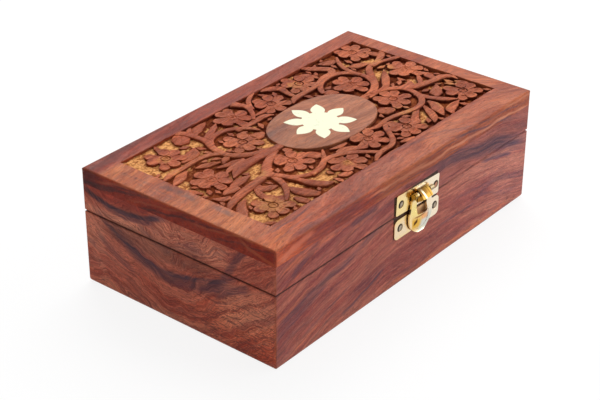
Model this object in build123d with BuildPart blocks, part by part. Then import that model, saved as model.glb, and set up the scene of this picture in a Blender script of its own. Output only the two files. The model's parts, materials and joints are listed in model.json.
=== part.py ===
"""Keepsake box of carved hardwood. A mitred case is sawn into a tray and a lid, joined by two
butt hinges at the back and held shut by a swinging brass catch at the front. The lid carries a
floral carving in relief and a petalled inlay, and the tray and the lid are lined with velvet.

Millimetres, +Z up. The origin is the middle of the underside and the front faces -Y."""
import os
from math import cos, pi, radians, sin, tan

from build123d import *

# Case
box_length = 200.0          # along X
box_depth = 116.0           # along Y
base_height = 39.0          # underside to the seam
lid_height = 22.5           # seam to the top
wall = 9.0                  # thickness of the mitred walls
top_board = 8.0             # thickness of the board that closes the lid
floor_board = 4.0           # thickness of the board that closes the tray
floor_rabbet = 4.0          # how far the floor board enters each wall
board_fit = 0.1             # gap round the edge of the floor board
corner_round = 0.6          # upright corners and the lid's top edge
foot_round = 2.0            # outer edge of the underside
seam_ease = 0.8             # 45 degree easing of the outer edges along the seam

# Carving on the top board
border_left = 15.0          # plain border from each side of the board to the sunk field
border_right = 10.0
border_front = 15.5
border_back = 10.5
carving_depth = 2.4
medallion_length = 64.4
medallion_width = 42.5
medallion_fullness = 2.3    # 2 is an ellipse, more is squarer
medallion_shift = 4.9       # from the field's middle, along X
petal_count = 7
petal_radius = 2.9
petal_reach = 6.2           # from a flower's middle to the middle of its petals
petal_sink = 0.8            # petals lie this far below the border and the vines
flower_heart = 2.6          # radius of a flower's raised middle
scroll_radius = 13.3        # middle line of the vine that rings a flower
vine_width = 3.0

# Inlay in the medallion
inlay_petals = 8
inlay_reach = 18.0          # middle to the tip of a petal
inlay_petal_width = 7.0
inlay_disc = 9.4            # radius of the undivided middle
inlay_depth = 1.6
inlay_fit = 0.05
inlay_shift = -1.2          # from the medallion's middle, along X

# Velvet lining
lining = 1.0                # velvet on card, glued to the tray's walls
lining_drop = 2.0           # seam to the upper edge of the wall lining
pad_thickness = 3.0
pad_gap = 0.3               # round the edge of both pads
pad_corner = 3.0

# Butt hinges
hinge_from_end = 38.0       # end of the box to the middle of a hinge
hinge_length = 24.0
hinge_inset = 0.6           # pin's axis, inside the back face
hinge_reach = 7.0           # pin's axis to a leaf's free edge
leaf = 1.0                  # thickness of a leaf
leaf_relief = 0.05          # leaf's face, sunk below the seam
mortise_fit = 0.1
barrel_radius = 1.8
barrel_fit = 0.2            # gap from a barrel to the wood and to the other leaf
hinge_pin_radius = 0.9
pin_fit = 0.05              # running gap round both kinds of pin
knuckles = 3
knuckle_gap = 0.15
screw_spacing = 15.0
screw_head = 1.6            # radius
screw_shank = 0.75          # radius
screw_length = 7.5

# Catch
catch_x = 3.4               # midway between the nails
catch_tilt = 2.6            # degrees clockwise: the upper plate is nailed on a little askew
plate = 0.6                 # thickness of both plates
plate_offset = -0.6         # from the nails' middle to the middle of both plates, along X
knuckle_offset = 0.9        # from the nails' middle to the middle of the knuckle and the hasp
upper_plate_length = 34.0
upper_plate_height = 10.6
upper_plate_middle = 5.0    # above the seam
upper_plate_round = 0.9
lower_plate_length = 35.4
lower_plate_height = 10.5
lower_plate_drop = 2.0      # seam to the lower plate's upper edge
lower_plate_round = 2.6
nail_spacing = 27.8
nail_rise = 4.9             # seam to the upper nails
nail_drop = 6.9             # seam to the lower nails
nail_head = 1.8             # radius
nail_crown = 0.3            # height of a nail's crown above its widest part
nail_flat = 0.8             # radius of the flat on the crown
nail_shank = 0.7            # radius
nail_length = 7.0
dish_radius = 2.2           # dished nail hole, at the face of the plate
dish_angle = 108.0          # full angle of the dished hole
pivot_out = 2.3             # catch pin's axis, in front of the box
pivot_rise = 6.5            # catch pin's axis, above the seam
pivot_radius = 0.8
pivot_head = 1.15           # radius of the pin's peened ends
pivot_head_length = 0.35
knuckle_width = 7.6         # folded middle knuckle on the upper plate
knuckle_top = 9.2           # seam to where the knuckle leaves the plate
knuckle_foot = 0.8          # seam to where its underside meets the plate
knuckle_nose = (5.6, 4.7)   # its outermost edge: in front of the box, above the seam
knuckle_bows = [(2.75, 8.0), (4.3, 6.6)]    # its outer face passes here
eye_radius = 1.4            # rolled eyes of the hasp
eye_gap = 0.9               # from the knuckle to each eye
window_gap = 0.3            # from the knuckle to each side of the hasp's window
hasp_top_width = 14.8
hasp_radius = 9.2           # rounded lower end
hasp_drop = 5.0             # seam to the middle of the rounded end
hasp_back = 1.2             # the hasp's back face, in front of the box
hasp_sheet = 0.8
window_drop = 4.0           # seam to the lower edge of the hasp's window
window_round = 0.6
dome_drop = 6.2             # seam to the middle of the hasp's pressed dome
dome_radius = 6.7
dome_height = 1.6           # above the hasp's face
curl_drop = 11.8            # seam to where the hasp's lip starts to turn outwards
curl_out = 0.7
nose_drop = 7.0             # seam to the middle of the lower plate's nose
nose_radius = 2.6
nose_top = 1.6              # radius of the flat on the nose
nose_gap = 0.15             # from the nose to the hasp's back

half_x = box_length / 2
half_y = box_depth / 2
inner_x = half_x - wall
inner_y = half_y - wall
seam = base_height
top = base_height + lid_height
lid_roof = top - top_board  # underside of the top board
same = 0.01                 # heights closer than this are the same
down = -1                   # tray's side of the seam
up = 1                      # lid's side of the seam

os.makedirs("parts", exist_ok=True)


def save(finished, label):
    finished.part.label = label
    export_step(finished.part, f"parts/{label}.step")


def turned(*outline):
    """A solid turned about Z from half its outline, given as (radius, height) points."""
    with BuildPart() as one:
        with BuildSketch(Plane.XZ):
            with BuildLine():
                Polyline(*outline, close=True)
            make_face()
        revolve(axis=Axis.Z)
    return one.part


# ---------------------------------------------------------------------------- hinge shapes
hinge_y = half_y - hinge_inset
hinges = {"left": hinge_from_end - half_x, "right": half_x - hinge_from_end}
leaf_front = hinge_y - hinge_reach
leaf_back = hinge_y - barrel_radius - barrel_fit
screw_y = (leaf_front + leaf_back) / 2
screw_places = [(x + s * screw_spacing / 2, screw_y) for x in hinges.values() for s in (-1, 1)]


def hinge_screws(side):
    """The four countersunk screws that hold the leaves to the tray or to the lid."""
    leaf_face = Plane((0, 0, seam + side * leaf_relief), x_dir=(1, 0, 0), z_dir=(0, 0, -side))
    screw = turned((0, 0), (screw_head, 0), (screw_shank, screw_shank - screw_head),
                   (screw_shank, 2 * screw_shank - screw_length), (0, -screw_length))
    with BuildPart(leaf_face) as screws:
        with Locations(*[(x, -side * y) for x, y in screw_places]):
            add(screw)
    return screws


def hinge_mortise():
    """What the case gives up for both hinges: pockets for the leaves, a groove for the barrels."""
    length = hinge_length + 2 * mortise_fit
    depth = leaf + leaf_relief
    with BuildPart() as mortise:
        with BuildSketch(Plane.XY.offset(seam)):
            with Locations(*[(x, (leaf_front - mortise_fit + hinge_y) / 2) for x in hinges.values()]):
                Rectangle(length, hinge_reach + mortise_fit)
        extrude(amount=depth, both=True)
        with BuildSketch(*[Plane.YZ.offset(x) for x in hinges.values()]):
            with Locations((hinge_y, seam)):
                Circle(barrel_radius + barrel_fit)
        extrude(amount=length / 2, both=True)
    return mortise


def hinge_leaf(x, side):
    """One leaf with its knuckles. The tray's leaf has the outer knuckles, the lid's the middle."""
    pitch = (hinge_length + knuckle_gap) / knuckles
    first = x - (hinge_length - pitch + knuckle_gap) / 2
    own = [first + n * pitch for n in range(knuckles) if n % 2 == (0 if side == down else 1)]
    running_gap = pin_fit if side == up else 0
    with BuildPart() as one:
        with BuildSketch(Plane.XY.offset(seam + side * leaf_relief)):
            with Locations((x, (leaf_front + leaf_back) / 2)):
                Rectangle(hinge_length, leaf_back - leaf_front)
            with Locations(*[(place, (leaf_front + hinge_y) / 2) for place in own]):
                Rectangle(pitch - knuckle_gap, hinge_reach)
        extrude(amount=side * leaf)
        with BuildSketch(*[Plane.YZ.offset(place) for place in own]):
            with Locations((hinge_y, seam)):
                Circle(barrel_radius)
        extrude(amount=(pitch - knuckle_gap) / 2, both=True)
        with BuildSketch(Plane.YZ.offset(x)):
            with Locations((hinge_y, seam)):
                Circle(hinge_pin_radius + running_gap)
        extrude(amount=hinge_length, both=True, mode=Mode.SUBTRACT)
        add(hinge_screws(side).part, mode=Mode.SUBTRACT)
    return one


# ---------------------------------------------------------------------------- nail shapes
# On a front plane x runs along the box and y up from the seam, and on a side plane x runs out
# from the box and y up from the seam. The front planes start at the seam, midway between the
# nails, and the knuckle's planes start in the middle of the knuckle.
lower_front = Plane((catch_x, -half_y, seam), x_dir=(1, 0, 0), z_dir=(0, -1, 0))
upper_front = Plane(lower_front.origin, z_dir=lower_front.z_dir,
                    x_dir=(cos(radians(catch_tilt)), 0, -sin(radians(catch_tilt))))
hasp_front = Plane(upper_front.origin + knuckle_offset * upper_front.x_dir,
                   x_dir=upper_front.x_dir, z_dir=upper_front.z_dir)
hasp_side = Plane(hasp_front.origin, x_dir=hasp_front.z_dir, z_dir=-hasp_front.x_dir)


def nail_places(height):
    return [(s * nail_spacing / 2, height) for s in (-1, 1)]


def nails(plane, height):
    """Crowned nails, points inwards, whose heads sit in the dished holes of a plate."""
    slope = tan(radians(dish_angle / 2))
    widest = plate - (dish_radius - nail_head) / slope
    neck = plate - (dish_radius - nail_shank) / slope
    nail = turned((0, widest + nail_crown), (nail_flat, widest + nail_crown), (nail_head, widest),
                  (nail_shank, neck), (nail_shank, 2 * nail_shank - nail_length), (0, -nail_length))
    with BuildPart(plane) as group:
        with Locations(*nail_places(height)):
            add(nail)
    return group


def catch_plate(plane, middle, length, height, rounding, nail_height):
    """A flat plate on the front of the box with a dished hole for each nail."""
    with BuildPart(plane) as one:
        with BuildSketch(plane):
            with Locations((plate_offset, middle)):
                RectangleRounded(length, height, rounding)
        extrude(amount=plate)
        with Locations(*[(x, y, plate) for x, y in nail_places(nail_height)]):
            CounterSinkHole(nail_shank, dish_radius, counter_sink_angle=dish_angle)
    return one


# ---------------------------------------------------------------------------- case
def outside(edge):
    """True for an edge on the outer faces of the case."""
    middle = edge.center()
    return abs(middle.X) > half_x - wall / 2 or abs(middle.Y) > half_y - wall / 2


def rim(solid, height):
    """The outer edges of a case part at one height."""
    return solid.edges().filter_by(lambda edge: abs(edge.center().Z - height) < same).filter_by(outside)


def frame_ring(low, high):
    """The four walls of the tray or the lid in one piece, before the mitres are cut."""
    with BuildPart() as ring:
        with BuildSketch(Plane.XY.offset(low)):
            Rectangle(box_length, box_depth)
            Rectangle(2 * inner_x, 2 * inner_y, mode=Mode.SUBTRACT)
        extrude(amount=high - low)
        chamfer(rim(ring, seam), seam_ease)
        if low < seam:
            fillet(rim(ring, low), foot_round)
        fillet(ring.edges().filter_by(Axis.Z).filter_by(outside), corner_round)
        add(hinge_mortise().part, mode=Mode.SUBTRACT)
    return ring


sides = ["front", "right", "back", "left"]
outer_corners = [(-half_x, -half_y), (half_x, -half_y), (half_x, half_y), (-half_x, half_y)]
inner_corners = [(-inner_x, -inner_y), (inner_x, -inner_y), (inner_x, inner_y), (-inner_x, inner_y)]


def mitred_wall(ring, side):
    """One wall of a ring, cut off at its two mitres."""
    start = sides.index(side)
    end = (start + 1) % len(sides)
    with BuildPart() as one:
        add(ring.part)
        with BuildSketch():
            with BuildLine():
                Polyline(outer_corners[start], outer_corners[end], inner_corners[end],
                         inner_corners[start], close=True)
            make_face()
        extrude(amount=top, mode=Mode.INTERSECT)
    return one


with BuildPart() as tray_ring:
    add(frame_ring(0, seam).part)
    with BuildSketch():
        Rectangle(2 * (inner_x + floor_rabbet), 2 * (inner_y + floor_rabbet))
    extrude(amount=floor_board, mode=Mode.SUBTRACT)
    add(hinge_screws(down).part, mode=Mode.SUBTRACT)
    add(nails(lower_front, -nail_drop).part, mode=Mode.SUBTRACT)

with BuildPart() as lid_ring:
    add(frame_ring(seam, lid_roof).part)
    add(hinge_screws(up).part, mode=Mode.SUBTRACT)
    add(nails(upper_front, nail_rise).part, mode=Mode.SUBTRACT)

for side in sides:
    save(mitred_wall(tray_ring, side), f"base_{side}_wall")
    save(mitred_wall(lid_ring, side), f"lid_{side}_wall")

with BuildPart() as base_floor_board:
    with BuildSketch():
        Rectangle(2 * (inner_x + floor_rabbet - board_fit), 2 * (inner_y + floor_rabbet - board_fit))
    extrude(amount=floor_board)
save(base_floor_board, "base_floor_board")

# ---------------------------------------------------------------------------- top board
field_x = (border_left - border_right) / 2
field_y = (border_front - border_back) / 2
field_half_x = half_x - (border_left + border_right) / 2
field_half_y = half_y - (border_front + border_back) / 2
medallion_x = field_x + medallion_shift
inlay_x = medallion_x + inlay_shift


def in_field(places):
    """Places given as shares of the field's half length and half width, from its middle."""
    return [(field_x + u * field_half_x, field_y + v * field_half_y) for u, v in places]


ringed_flowers = in_field([(-0.41, 0.34), (-0.41, -0.33), (0.52, 0.31), (0.53, -0.27)])
plain_flowers = in_field([
    (-0.82, 0.71), (-0.24, 0.79), (0.04, 0.69), (0.34, 0.77), (0.88, 0.81), (-0.83, 0.05),
    (0.89, 0.08), (-0.83, -0.76), (-0.23, -0.78), (0.05, -0.64), (0.30, -0.78), (0.87, -0.76)])
vines = [
    [(-0.25, -0.02), (-0.48, 0.02), (-0.72, -0.06)],
    [(-0.40, -0.06), (-0.58, -0.30), (-0.62, -0.50), (-0.72, -0.80)],
    [(-0.55, -0.28), (-0.74, -0.35), (-0.98, -0.42)],
    [(-0.38, 0.06), (-0.56, 0.26), (-0.58, 0.50), (-0.54, 0.86)],
    [(-0.58, 0.34), (-0.78, 0.44), (-0.98, 0.40)],
    [(-0.30, 0.55), (-0.17, 0.64), (-0.10, 0.78), (-0.13, 1.02)],
    [(-0.30, -0.56), (-0.20, -0.52), (-0.10, -0.70), (-0.02, -0.86)],
    [(0.40, -0.02), (0.60, 0.00), (0.74, -0.10), (0.98, -0.40)],
    [(0.52, 0.02), (0.66, 0.16), (0.80, 0.42), (0.98, 0.50)],
    [(0.64, 0.50), (0.70, 0.66), (0.74, 0.84), (0.82, 1.02)],
    [(0.46, 0.62), (0.34, 0.58), (0.18, 0.58)],
    [(0.64, -0.50), (0.70, -0.72), (0.80, -0.96)],
    [(0.44, -0.58), (0.30, -0.54), (0.14, -0.50)]]
petal_shape = [(0.25, 0.42), (0.52, 0.42), (0.69, 0.50), (0.88, 0.27)]   # shares of reach and width
medallion_points = 24


def medallion_outline():
    """Points round the medallion's rim."""
    points = []
    for step in range(medallion_points):
        turn = 2 * pi * step / medallion_points
        across, along = abs(cos(turn)) ** (2 / medallion_fullness), abs(sin(turn)) ** (2 / medallion_fullness)
        points.append((medallion_x + (1 if cos(turn) >= 0 else -1) * across * medallion_length / 2,
                       field_y + (1 if sin(turn) >= 0 else -1) * along * medallion_width / 2))
    return points


def flower_outline():
    """One carved flower: petals round a middle that joins them."""
    with BuildSketch() as flower:
        Circle(petal_reach)
        with PolarLocations(petal_reach, petal_count):
            Circle(petal_radius)
    return flower.sketch


def vine_outline():
    """Every vine of the carving, with the rings that they make round some of the flowers."""
    with BuildSketch() as vine:
        with Locations(*ringed_flowers):
            Circle(scroll_radius + vine_width / 2)
        with Locations(*ringed_flowers):
            Circle(scroll_radius - vine_width / 2, mode=Mode.SUBTRACT)
        for run in vines:
            with BuildLine():
                Spline(*in_field(run))
            trace(line_width=vine_width)
    return vine.sketch


def inlay_outline(gap):
    """The petalled inlay, seen from above, grown by a gap."""
    reach, width = inlay_reach + gap, inlay_petal_width + 2 * gap
    root, waist, belly, shoulder = [(r * reach, w * width) for r, w in petal_shape]
    with BuildSketch() as petal:
        with BuildLine():
            Polyline((0, 0), root, waist)
            Spline(waist, belly, shoulder, (reach, 0))
            Line((reach, 0), (0, 0))
        make_face()
        mirror(about=Plane.XZ)
    with BuildSketch() as flower:
        Circle(inlay_disc + gap)
        with PolarLocations(0, inlay_petals):
            add(petal.sketch)
    return flower.sketch


with BuildPart() as lid_top_board:
    with BuildSketch(Plane.XY.offset(lid_roof)):
        Rectangle(box_length, box_depth)
    extrude(amount=top_board)
    fillet(lid_top_board.edges().filter_by(Axis.Z) + rim(lid_top_board, top), corner_round)
    with BuildSketch(Plane.XY.offset(top)):
        with Locations((field_x, field_y)):
            Rectangle(2 * field_half_x, 2 * field_half_y)
        with BuildLine():
            Spline(*medallion_outline(), periodic=True)
        make_face(mode=Mode.SUBTRACT)
        add(vine_outline(), mode=Mode.SUBTRACT)
        with Locations(*ringed_flowers, *plain_flowers):
            add(flower_outline(), mode=Mode.SUBTRACT)
    extrude(amount=-carving_depth, mode=Mode.SUBTRACT)
    with BuildSketch(Plane.XY.offset(top)):
        with Locations(*ringed_flowers, *plain_flowers):
            add(flower_outline())
            Circle(flower_heart, mode=Mode.SUBTRACT)
        add(vine_outline(), mode=Mode.SUBTRACT)
    extrude(amount=-petal_sink, mode=Mode.SUBTRACT)
    with BuildSketch(Plane.XY.offset(top)):
        with Locations((inlay_x, field_y)):
            add(inlay_outline(inlay_fit))
    extrude(amount=-inlay_depth, mode=Mode.SUBTRACT)
save(lid_top_board, "lid_top_board")

with BuildPart() as flower_inlay:
    with BuildSketch(Plane.XY.offset(top)):
        with Locations((inlay_x, field_y)):
            add(inlay_outline(0))
    extrude(amount=-inlay_depth)
save(flower_inlay, "flower_inlay")

# ---------------------------------------------------------------------------- lining
lined_x = inner_x - lining
lined_y = inner_y - lining
lining_plans = {
    "front": ((0, -inner_y + lining / 2), (2 * inner_x, lining)),
    "back": ((0, inner_y - lining / 2), (2 * inner_x, lining)),
    "left": ((-inner_x + lining / 2, 0), (lining, 2 * lined_y)),
    "right": ((inner_x - lining / 2, 0), (lining, 2 * lined_y))}
for side, (middle, size) in lining_plans.items():
    with BuildPart() as wall_lining:
        with BuildSketch(Plane.XY.offset(floor_board)):
            with Locations(middle):
                Rectangle(*size)
        extrude(amount=seam - lining_drop - floor_board)
    save(wall_lining, f"base_{side}_lining")


def velvet_pad(glued, room_x, room_y, facing):
    """A velvet pad glued on at one height, with a rounded edge round its open face."""
    with BuildPart() as pad:
        with BuildSketch(Plane.XY.offset(glued)):
            RectangleRounded(2 * (room_x - pad_gap), 2 * (room_y - pad_gap), pad_corner)
        extrude(amount=facing * pad_thickness)
        open_face = pad.edges().group_by(Axis.Z)[-1 if facing == up else 0]
        fillet(open_face, pad_thickness / 2)
    return pad


save(velvet_pad(floor_board, lined_x, lined_y, up), "base_velvet_pad")
save(velvet_pad(lid_roof, inner_x, inner_y, down), "lid_velvet_pad")

# ---------------------------------------------------------------------------- hinges
for name, x in hinges.items():
    save(hinge_leaf(x, down), f"{name}_hinge_base_leaf")
    save(hinge_leaf(x, up), f"{name}_hinge_lid_leaf")
    with BuildPart() as hinge_pin:
        with BuildSketch(Plane.YZ.offset(x)):
            with Locations((hinge_y, seam)):
                Circle(hinge_pin_radius)
        extrude(amount=hinge_length / 2, both=True)
    save(hinge_pin, f"{name}_hinge_pin")
save(hinge_screws(down), "base_hinge_screws")
save(hinge_screws(up), "lid_hinge_screws")

# ---------------------------------------------------------------------------- catch
pivot = (pivot_out, pivot_rise)
plate_middle = plate / 2
window_half = knuckle_width / 2 + window_gap
hasp_face = hasp_back + hasp_sheet
hasp_middle = hasp_back + hasp_sheet / 2
shoulder = pivot_rise - eye_radius          # the hasp widens below its eyes, clear of the pin's ends

with BuildPart() as catch_upper_plate:
    add(catch_plate(upper_front, upper_plate_middle, upper_plate_length, upper_plate_height,
                    upper_plate_round, nail_rise).part)
    with BuildSketch(hasp_side):
        with BuildLine():
            Spline((plate_middle, knuckle_top), *knuckle_bows, knuckle_nose)
            Polyline(knuckle_nose, (plate_middle, knuckle_foot), (plate_middle, knuckle_top))
        make_face()
        with Locations(pivot):
            Circle(pivot_radius, mode=Mode.SUBTRACT)
    extrude(amount=knuckle_width / 2, both=True)
save(catch_upper_plate, "catch_upper_plate")

with BuildPart() as catch_lower_plate:
    add(catch_plate(lower_front, -lower_plate_drop - lower_plate_height / 2, lower_plate_length,
                    lower_plate_height, lower_plate_round, -nail_drop).part)
    with Locations(lower_front * Pos(knuckle_offset, -nose_drop)):
        add(turned((0, hasp_back - nose_gap), (nose_top, hasp_back - nose_gap),
                   (nose_radius, plate), (nose_radius, plate_middle), (0, plate_middle)))
save(catch_lower_plate, "catch_lower_plate")

save(nails(upper_front, nail_rise), "catch_upper_nails")
save(nails(lower_front, -nail_drop), "catch_lower_nails")


def on_dome(shell_radius, share):
    """A point of the dome's section on one of its spheres, at a share of the dome's radius."""
    sphere = (dome_radius ** 2 + dome_height ** 2) / (2 * dome_height)
    sphere_out = hasp_face + dome_height - sphere
    drop = share * dome_radius
    return (sphere_out + ((sphere - shell_radius) ** 2 - drop ** 2) ** 0.5, -dome_drop - drop)


with BuildPart() as catch_hasp:
    with BuildSketch(hasp_side):
        with BuildLine():
            straight = Line((hasp_middle, pivot_rise), (hasp_middle, -curl_drop))
            TangentArc(straight @ 1, (hasp_middle + curl_out, -hasp_drop - hasp_radius),
                       tangent=straight % 1)
        trace(line_width=hasp_sheet)
    extrude(amount=hasp_radius, both=True)
    with BuildSketch(hasp_front):
        with Locations((0, -hasp_drop)):
            Circle(hasp_radius)
        with BuildLine():
            Polyline((-hasp_top_width / 2, pivot_rise), (hasp_top_width / 2, pivot_rise),
                     (hasp_top_width / 2, shoulder), (hasp_radius, -hasp_drop),
                     (-hasp_radius, -hasp_drop), (-hasp_top_width / 2, shoulder), close=True)
        make_face()
        with Locations((0, -dome_drop)):
            Circle(dome_radius, mode=Mode.SUBTRACT)
    extrude(amount=hasp_face + curl_out + hasp_radius, mode=Mode.INTERSECT)
    with BuildSketch(hasp_side):
        with BuildLine():
            ThreePointArc(on_dome(0, 1), on_dome(0, 0.5), on_dome(0, 0))
            Line(on_dome(0, 0), on_dome(hasp_sheet, 0))
            ThreePointArc(on_dome(hasp_sheet, 0), on_dome(hasp_sheet, 0.5), on_dome(hasp_sheet, 0.95))
            Polyline(on_dome(hasp_sheet, 0.95), (hasp_back, -dome_drop - dome_radius), on_dome(0, 1))
        make_face()
    dome_middle = hasp_side.from_local_coords((0, -dome_drop, 0))
    revolve(axis=Axis(dome_middle, hasp_side.x_dir))
    with BuildSketch(hasp_front):
        with Locations((0, -window_drop)):
            RectangleRounded(2 * window_half, 2 * (pivot_rise + window_drop), window_round,
                             align=(Align.CENTER, Align.MIN))
    extrude(amount=hasp_face + dome_height + hasp_sheet, mode=Mode.SUBTRACT)
    eye_start = knuckle_width / 2 + eye_gap
    eye_width = hasp_top_width / 2 - eye_start
    with BuildSketch(*[hasp_side.offset(s * (eye_start + eye_width / 2)) for s in (-1, 1)]):
        with Locations(pivot):
            Circle(eye_radius)
    extrude(amount=eye_width / 2, both=True)
    with BuildSketch(hasp_side):
        with Locations(pivot):
            Circle(pivot_radius + pin_fit)
    extrude(amount=hasp_top_width, both=True, mode=Mode.SUBTRACT)
save(catch_hasp, "catch_hasp")

with BuildPart() as catch_pivot_pin:
    head_start = hasp_top_width / 2 + pin_fit
    with BuildSketch(hasp_side):
        with Locations(pivot):
            Circle(pivot_radius)
    extrude(amount=head_start, both=True)
    for s in (-1, 1):
        with BuildSketch(hasp_side.offset(s * head_start)):
            with Locations(pivot):
                Circle(pivot_head)
        extrude(amount=s * pivot_head_length)
save(catch_pivot_pin, "catch_pivot_pin")
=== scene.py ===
"""Looks of the carved keepsake box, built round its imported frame."""
import json
import math
import random
from contextlib import contextmanager

import bmesh
import bpy
from mathutils import Matrix, Vector, kdtree


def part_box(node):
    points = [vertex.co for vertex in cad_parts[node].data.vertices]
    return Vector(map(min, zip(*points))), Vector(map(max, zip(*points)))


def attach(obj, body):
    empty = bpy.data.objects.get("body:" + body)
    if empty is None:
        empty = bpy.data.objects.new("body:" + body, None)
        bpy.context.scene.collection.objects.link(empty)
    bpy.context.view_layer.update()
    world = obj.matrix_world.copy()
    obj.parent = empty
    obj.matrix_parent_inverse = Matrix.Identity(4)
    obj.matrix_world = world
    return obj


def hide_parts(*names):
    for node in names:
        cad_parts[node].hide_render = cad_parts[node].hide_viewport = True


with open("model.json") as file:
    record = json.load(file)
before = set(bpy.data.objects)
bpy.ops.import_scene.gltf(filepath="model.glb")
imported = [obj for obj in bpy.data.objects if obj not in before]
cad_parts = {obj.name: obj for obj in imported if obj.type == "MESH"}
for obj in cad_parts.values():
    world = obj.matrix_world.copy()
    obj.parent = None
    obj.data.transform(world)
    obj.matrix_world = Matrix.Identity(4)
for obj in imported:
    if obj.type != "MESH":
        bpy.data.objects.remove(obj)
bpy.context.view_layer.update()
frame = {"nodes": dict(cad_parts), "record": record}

MM = 0.001
nodes = frame["nodes"]
slots = {part["node"]: part["material_slot"] for part in frame["record"]["subparts"]}
board_low, board_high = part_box("lid_top_board")
half_x, half_y, top = board_high
surface = top / MM      # the board's face, in the millimetres that carving is measured in
seam = (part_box("base_front_wall")[1].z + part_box("lid_front_wall")[0].z) / 2


def camera():
    """Stands off the front-left corner, about 30 degrees above level, with a long lens."""
    place = Vector((-0.538564, -0.426452, 0.416882))
    pitch, roll, yaw = math.radians(29.959), math.radians(0.203), math.radians(50.980)
    ahead = Vector((math.sin(yaw) * math.cos(pitch), math.cos(yaw) * math.cos(pitch), -math.sin(pitch)))
    right = Vector((math.cos(yaw), -math.sin(yaw), 0))
    up = right.cross(ahead)
    level = math.cos(roll) * right + math.sin(roll) * up
    upright = math.cos(roll) * up - math.sin(roll) * right
    lens = bpy.data.cameras.new("camera")
    lens.sensor_width = 36
    lens.lens = 96.446
    eye = bpy.data.objects.new("camera", lens)
    bpy.context.scene.collection.objects.link(eye)
    turn = Matrix((level, upright, -ahead)).transposed().to_4x4()
    eye.matrix_world = Matrix.Translation(place) @ turn
    bpy.context.scene.camera = eye


# ------------------------------------------------------------------ materials
def put(tree, kind, *values, **settings):
    """Adds a shader node, and fills its inputs in order with numbers or with other nodes' outputs."""
    node = tree.nodes.new("ShaderNode" + kind)
    for name, value in settings.items():
        setattr(node, name, value)
    for socket, value in zip(node.inputs, values):
        feed(tree, socket, value)
    return node


def feed(tree, socket, value):
    """Links another node's output to a socket, or sets a number or a colour on it."""
    if isinstance(value, bpy.types.NodeSocket):
        tree.links.new(value, socket)
    elif value is not None:
        socket.default_value = value


def sums(tree, operation, *values, clamp=False):
    """One step of arithmetic, in the shader."""
    return put(tree, "Math", *values, operation=operation, use_clamp=clamp).outputs[0]


def times(tree, *values, clamp=False):
    """Two values multiplied."""
    return sums(tree, "MULTIPLY", *values, clamp=clamp)


def size_of(tree, value):
    """The value without its sign."""
    return sums(tree, "ABSOLUTE", value)


def blended(tree, share, first, second, way="MIX"):
    """Mixes two colours."""
    node = tree.nodes.new("ShaderNodeMix")
    node.data_type = "RGBA"
    node.blend_type = way
    for index, value in ((0, share), (6, first), (7, second)):
        feed(tree, node.inputs[index], value)
    return node.outputs[2]


def between(tree, value, low, high, start=0.0, end=1.0):
    """Eases from start to end as the value goes from low to high."""
    return put(tree, "MapRange", value, low, high, start, end, interpolation_type="SMOOTHSTEP").outputs[0]


def stretched(tree, vector, scale, move=(0, 0, 0)):
    """The vector times a scale for each axis, plus a shift."""
    return put(tree, "VectorMath", vector, scale, move, operation="MULTIPLY_ADD").outputs[0]


def mottle(tree, vector, scale=1.0, detail=3.0, roughness=0.5, twist=0.0):
    """Noise from 0 to 1."""
    node = put(tree, "TexNoise")
    feed(tree, node.inputs["Vector"], vector)
    settings = {"Scale": scale, "Detail": detail, "Roughness": roughness, "Distortion": twist}
    for name, value in settings.items():
        node.inputs[name].default_value = value
    return node.outputs[0]


def group(name, inputs, outputs):
    """An empty shader node group with its sockets, and its input and output nodes."""
    tree = bpy.data.node_groups.new(name, "ShaderNodeTree")
    for label, kind, default in inputs:
        socket = tree.interface.new_socket(name=label, in_out="INPUT", socket_type="NodeSocket" + kind)
        if default is not None:
            socket.default_value = default
    for label, kind in outputs:
        tree.interface.new_socket(name=label, in_out="OUTPUT", socket_type="NodeSocket" + kind)
    return tree, tree.nodes.new("NodeGroupInput").outputs, tree.nodes.new("NodeGroupOutput").inputs


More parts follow.
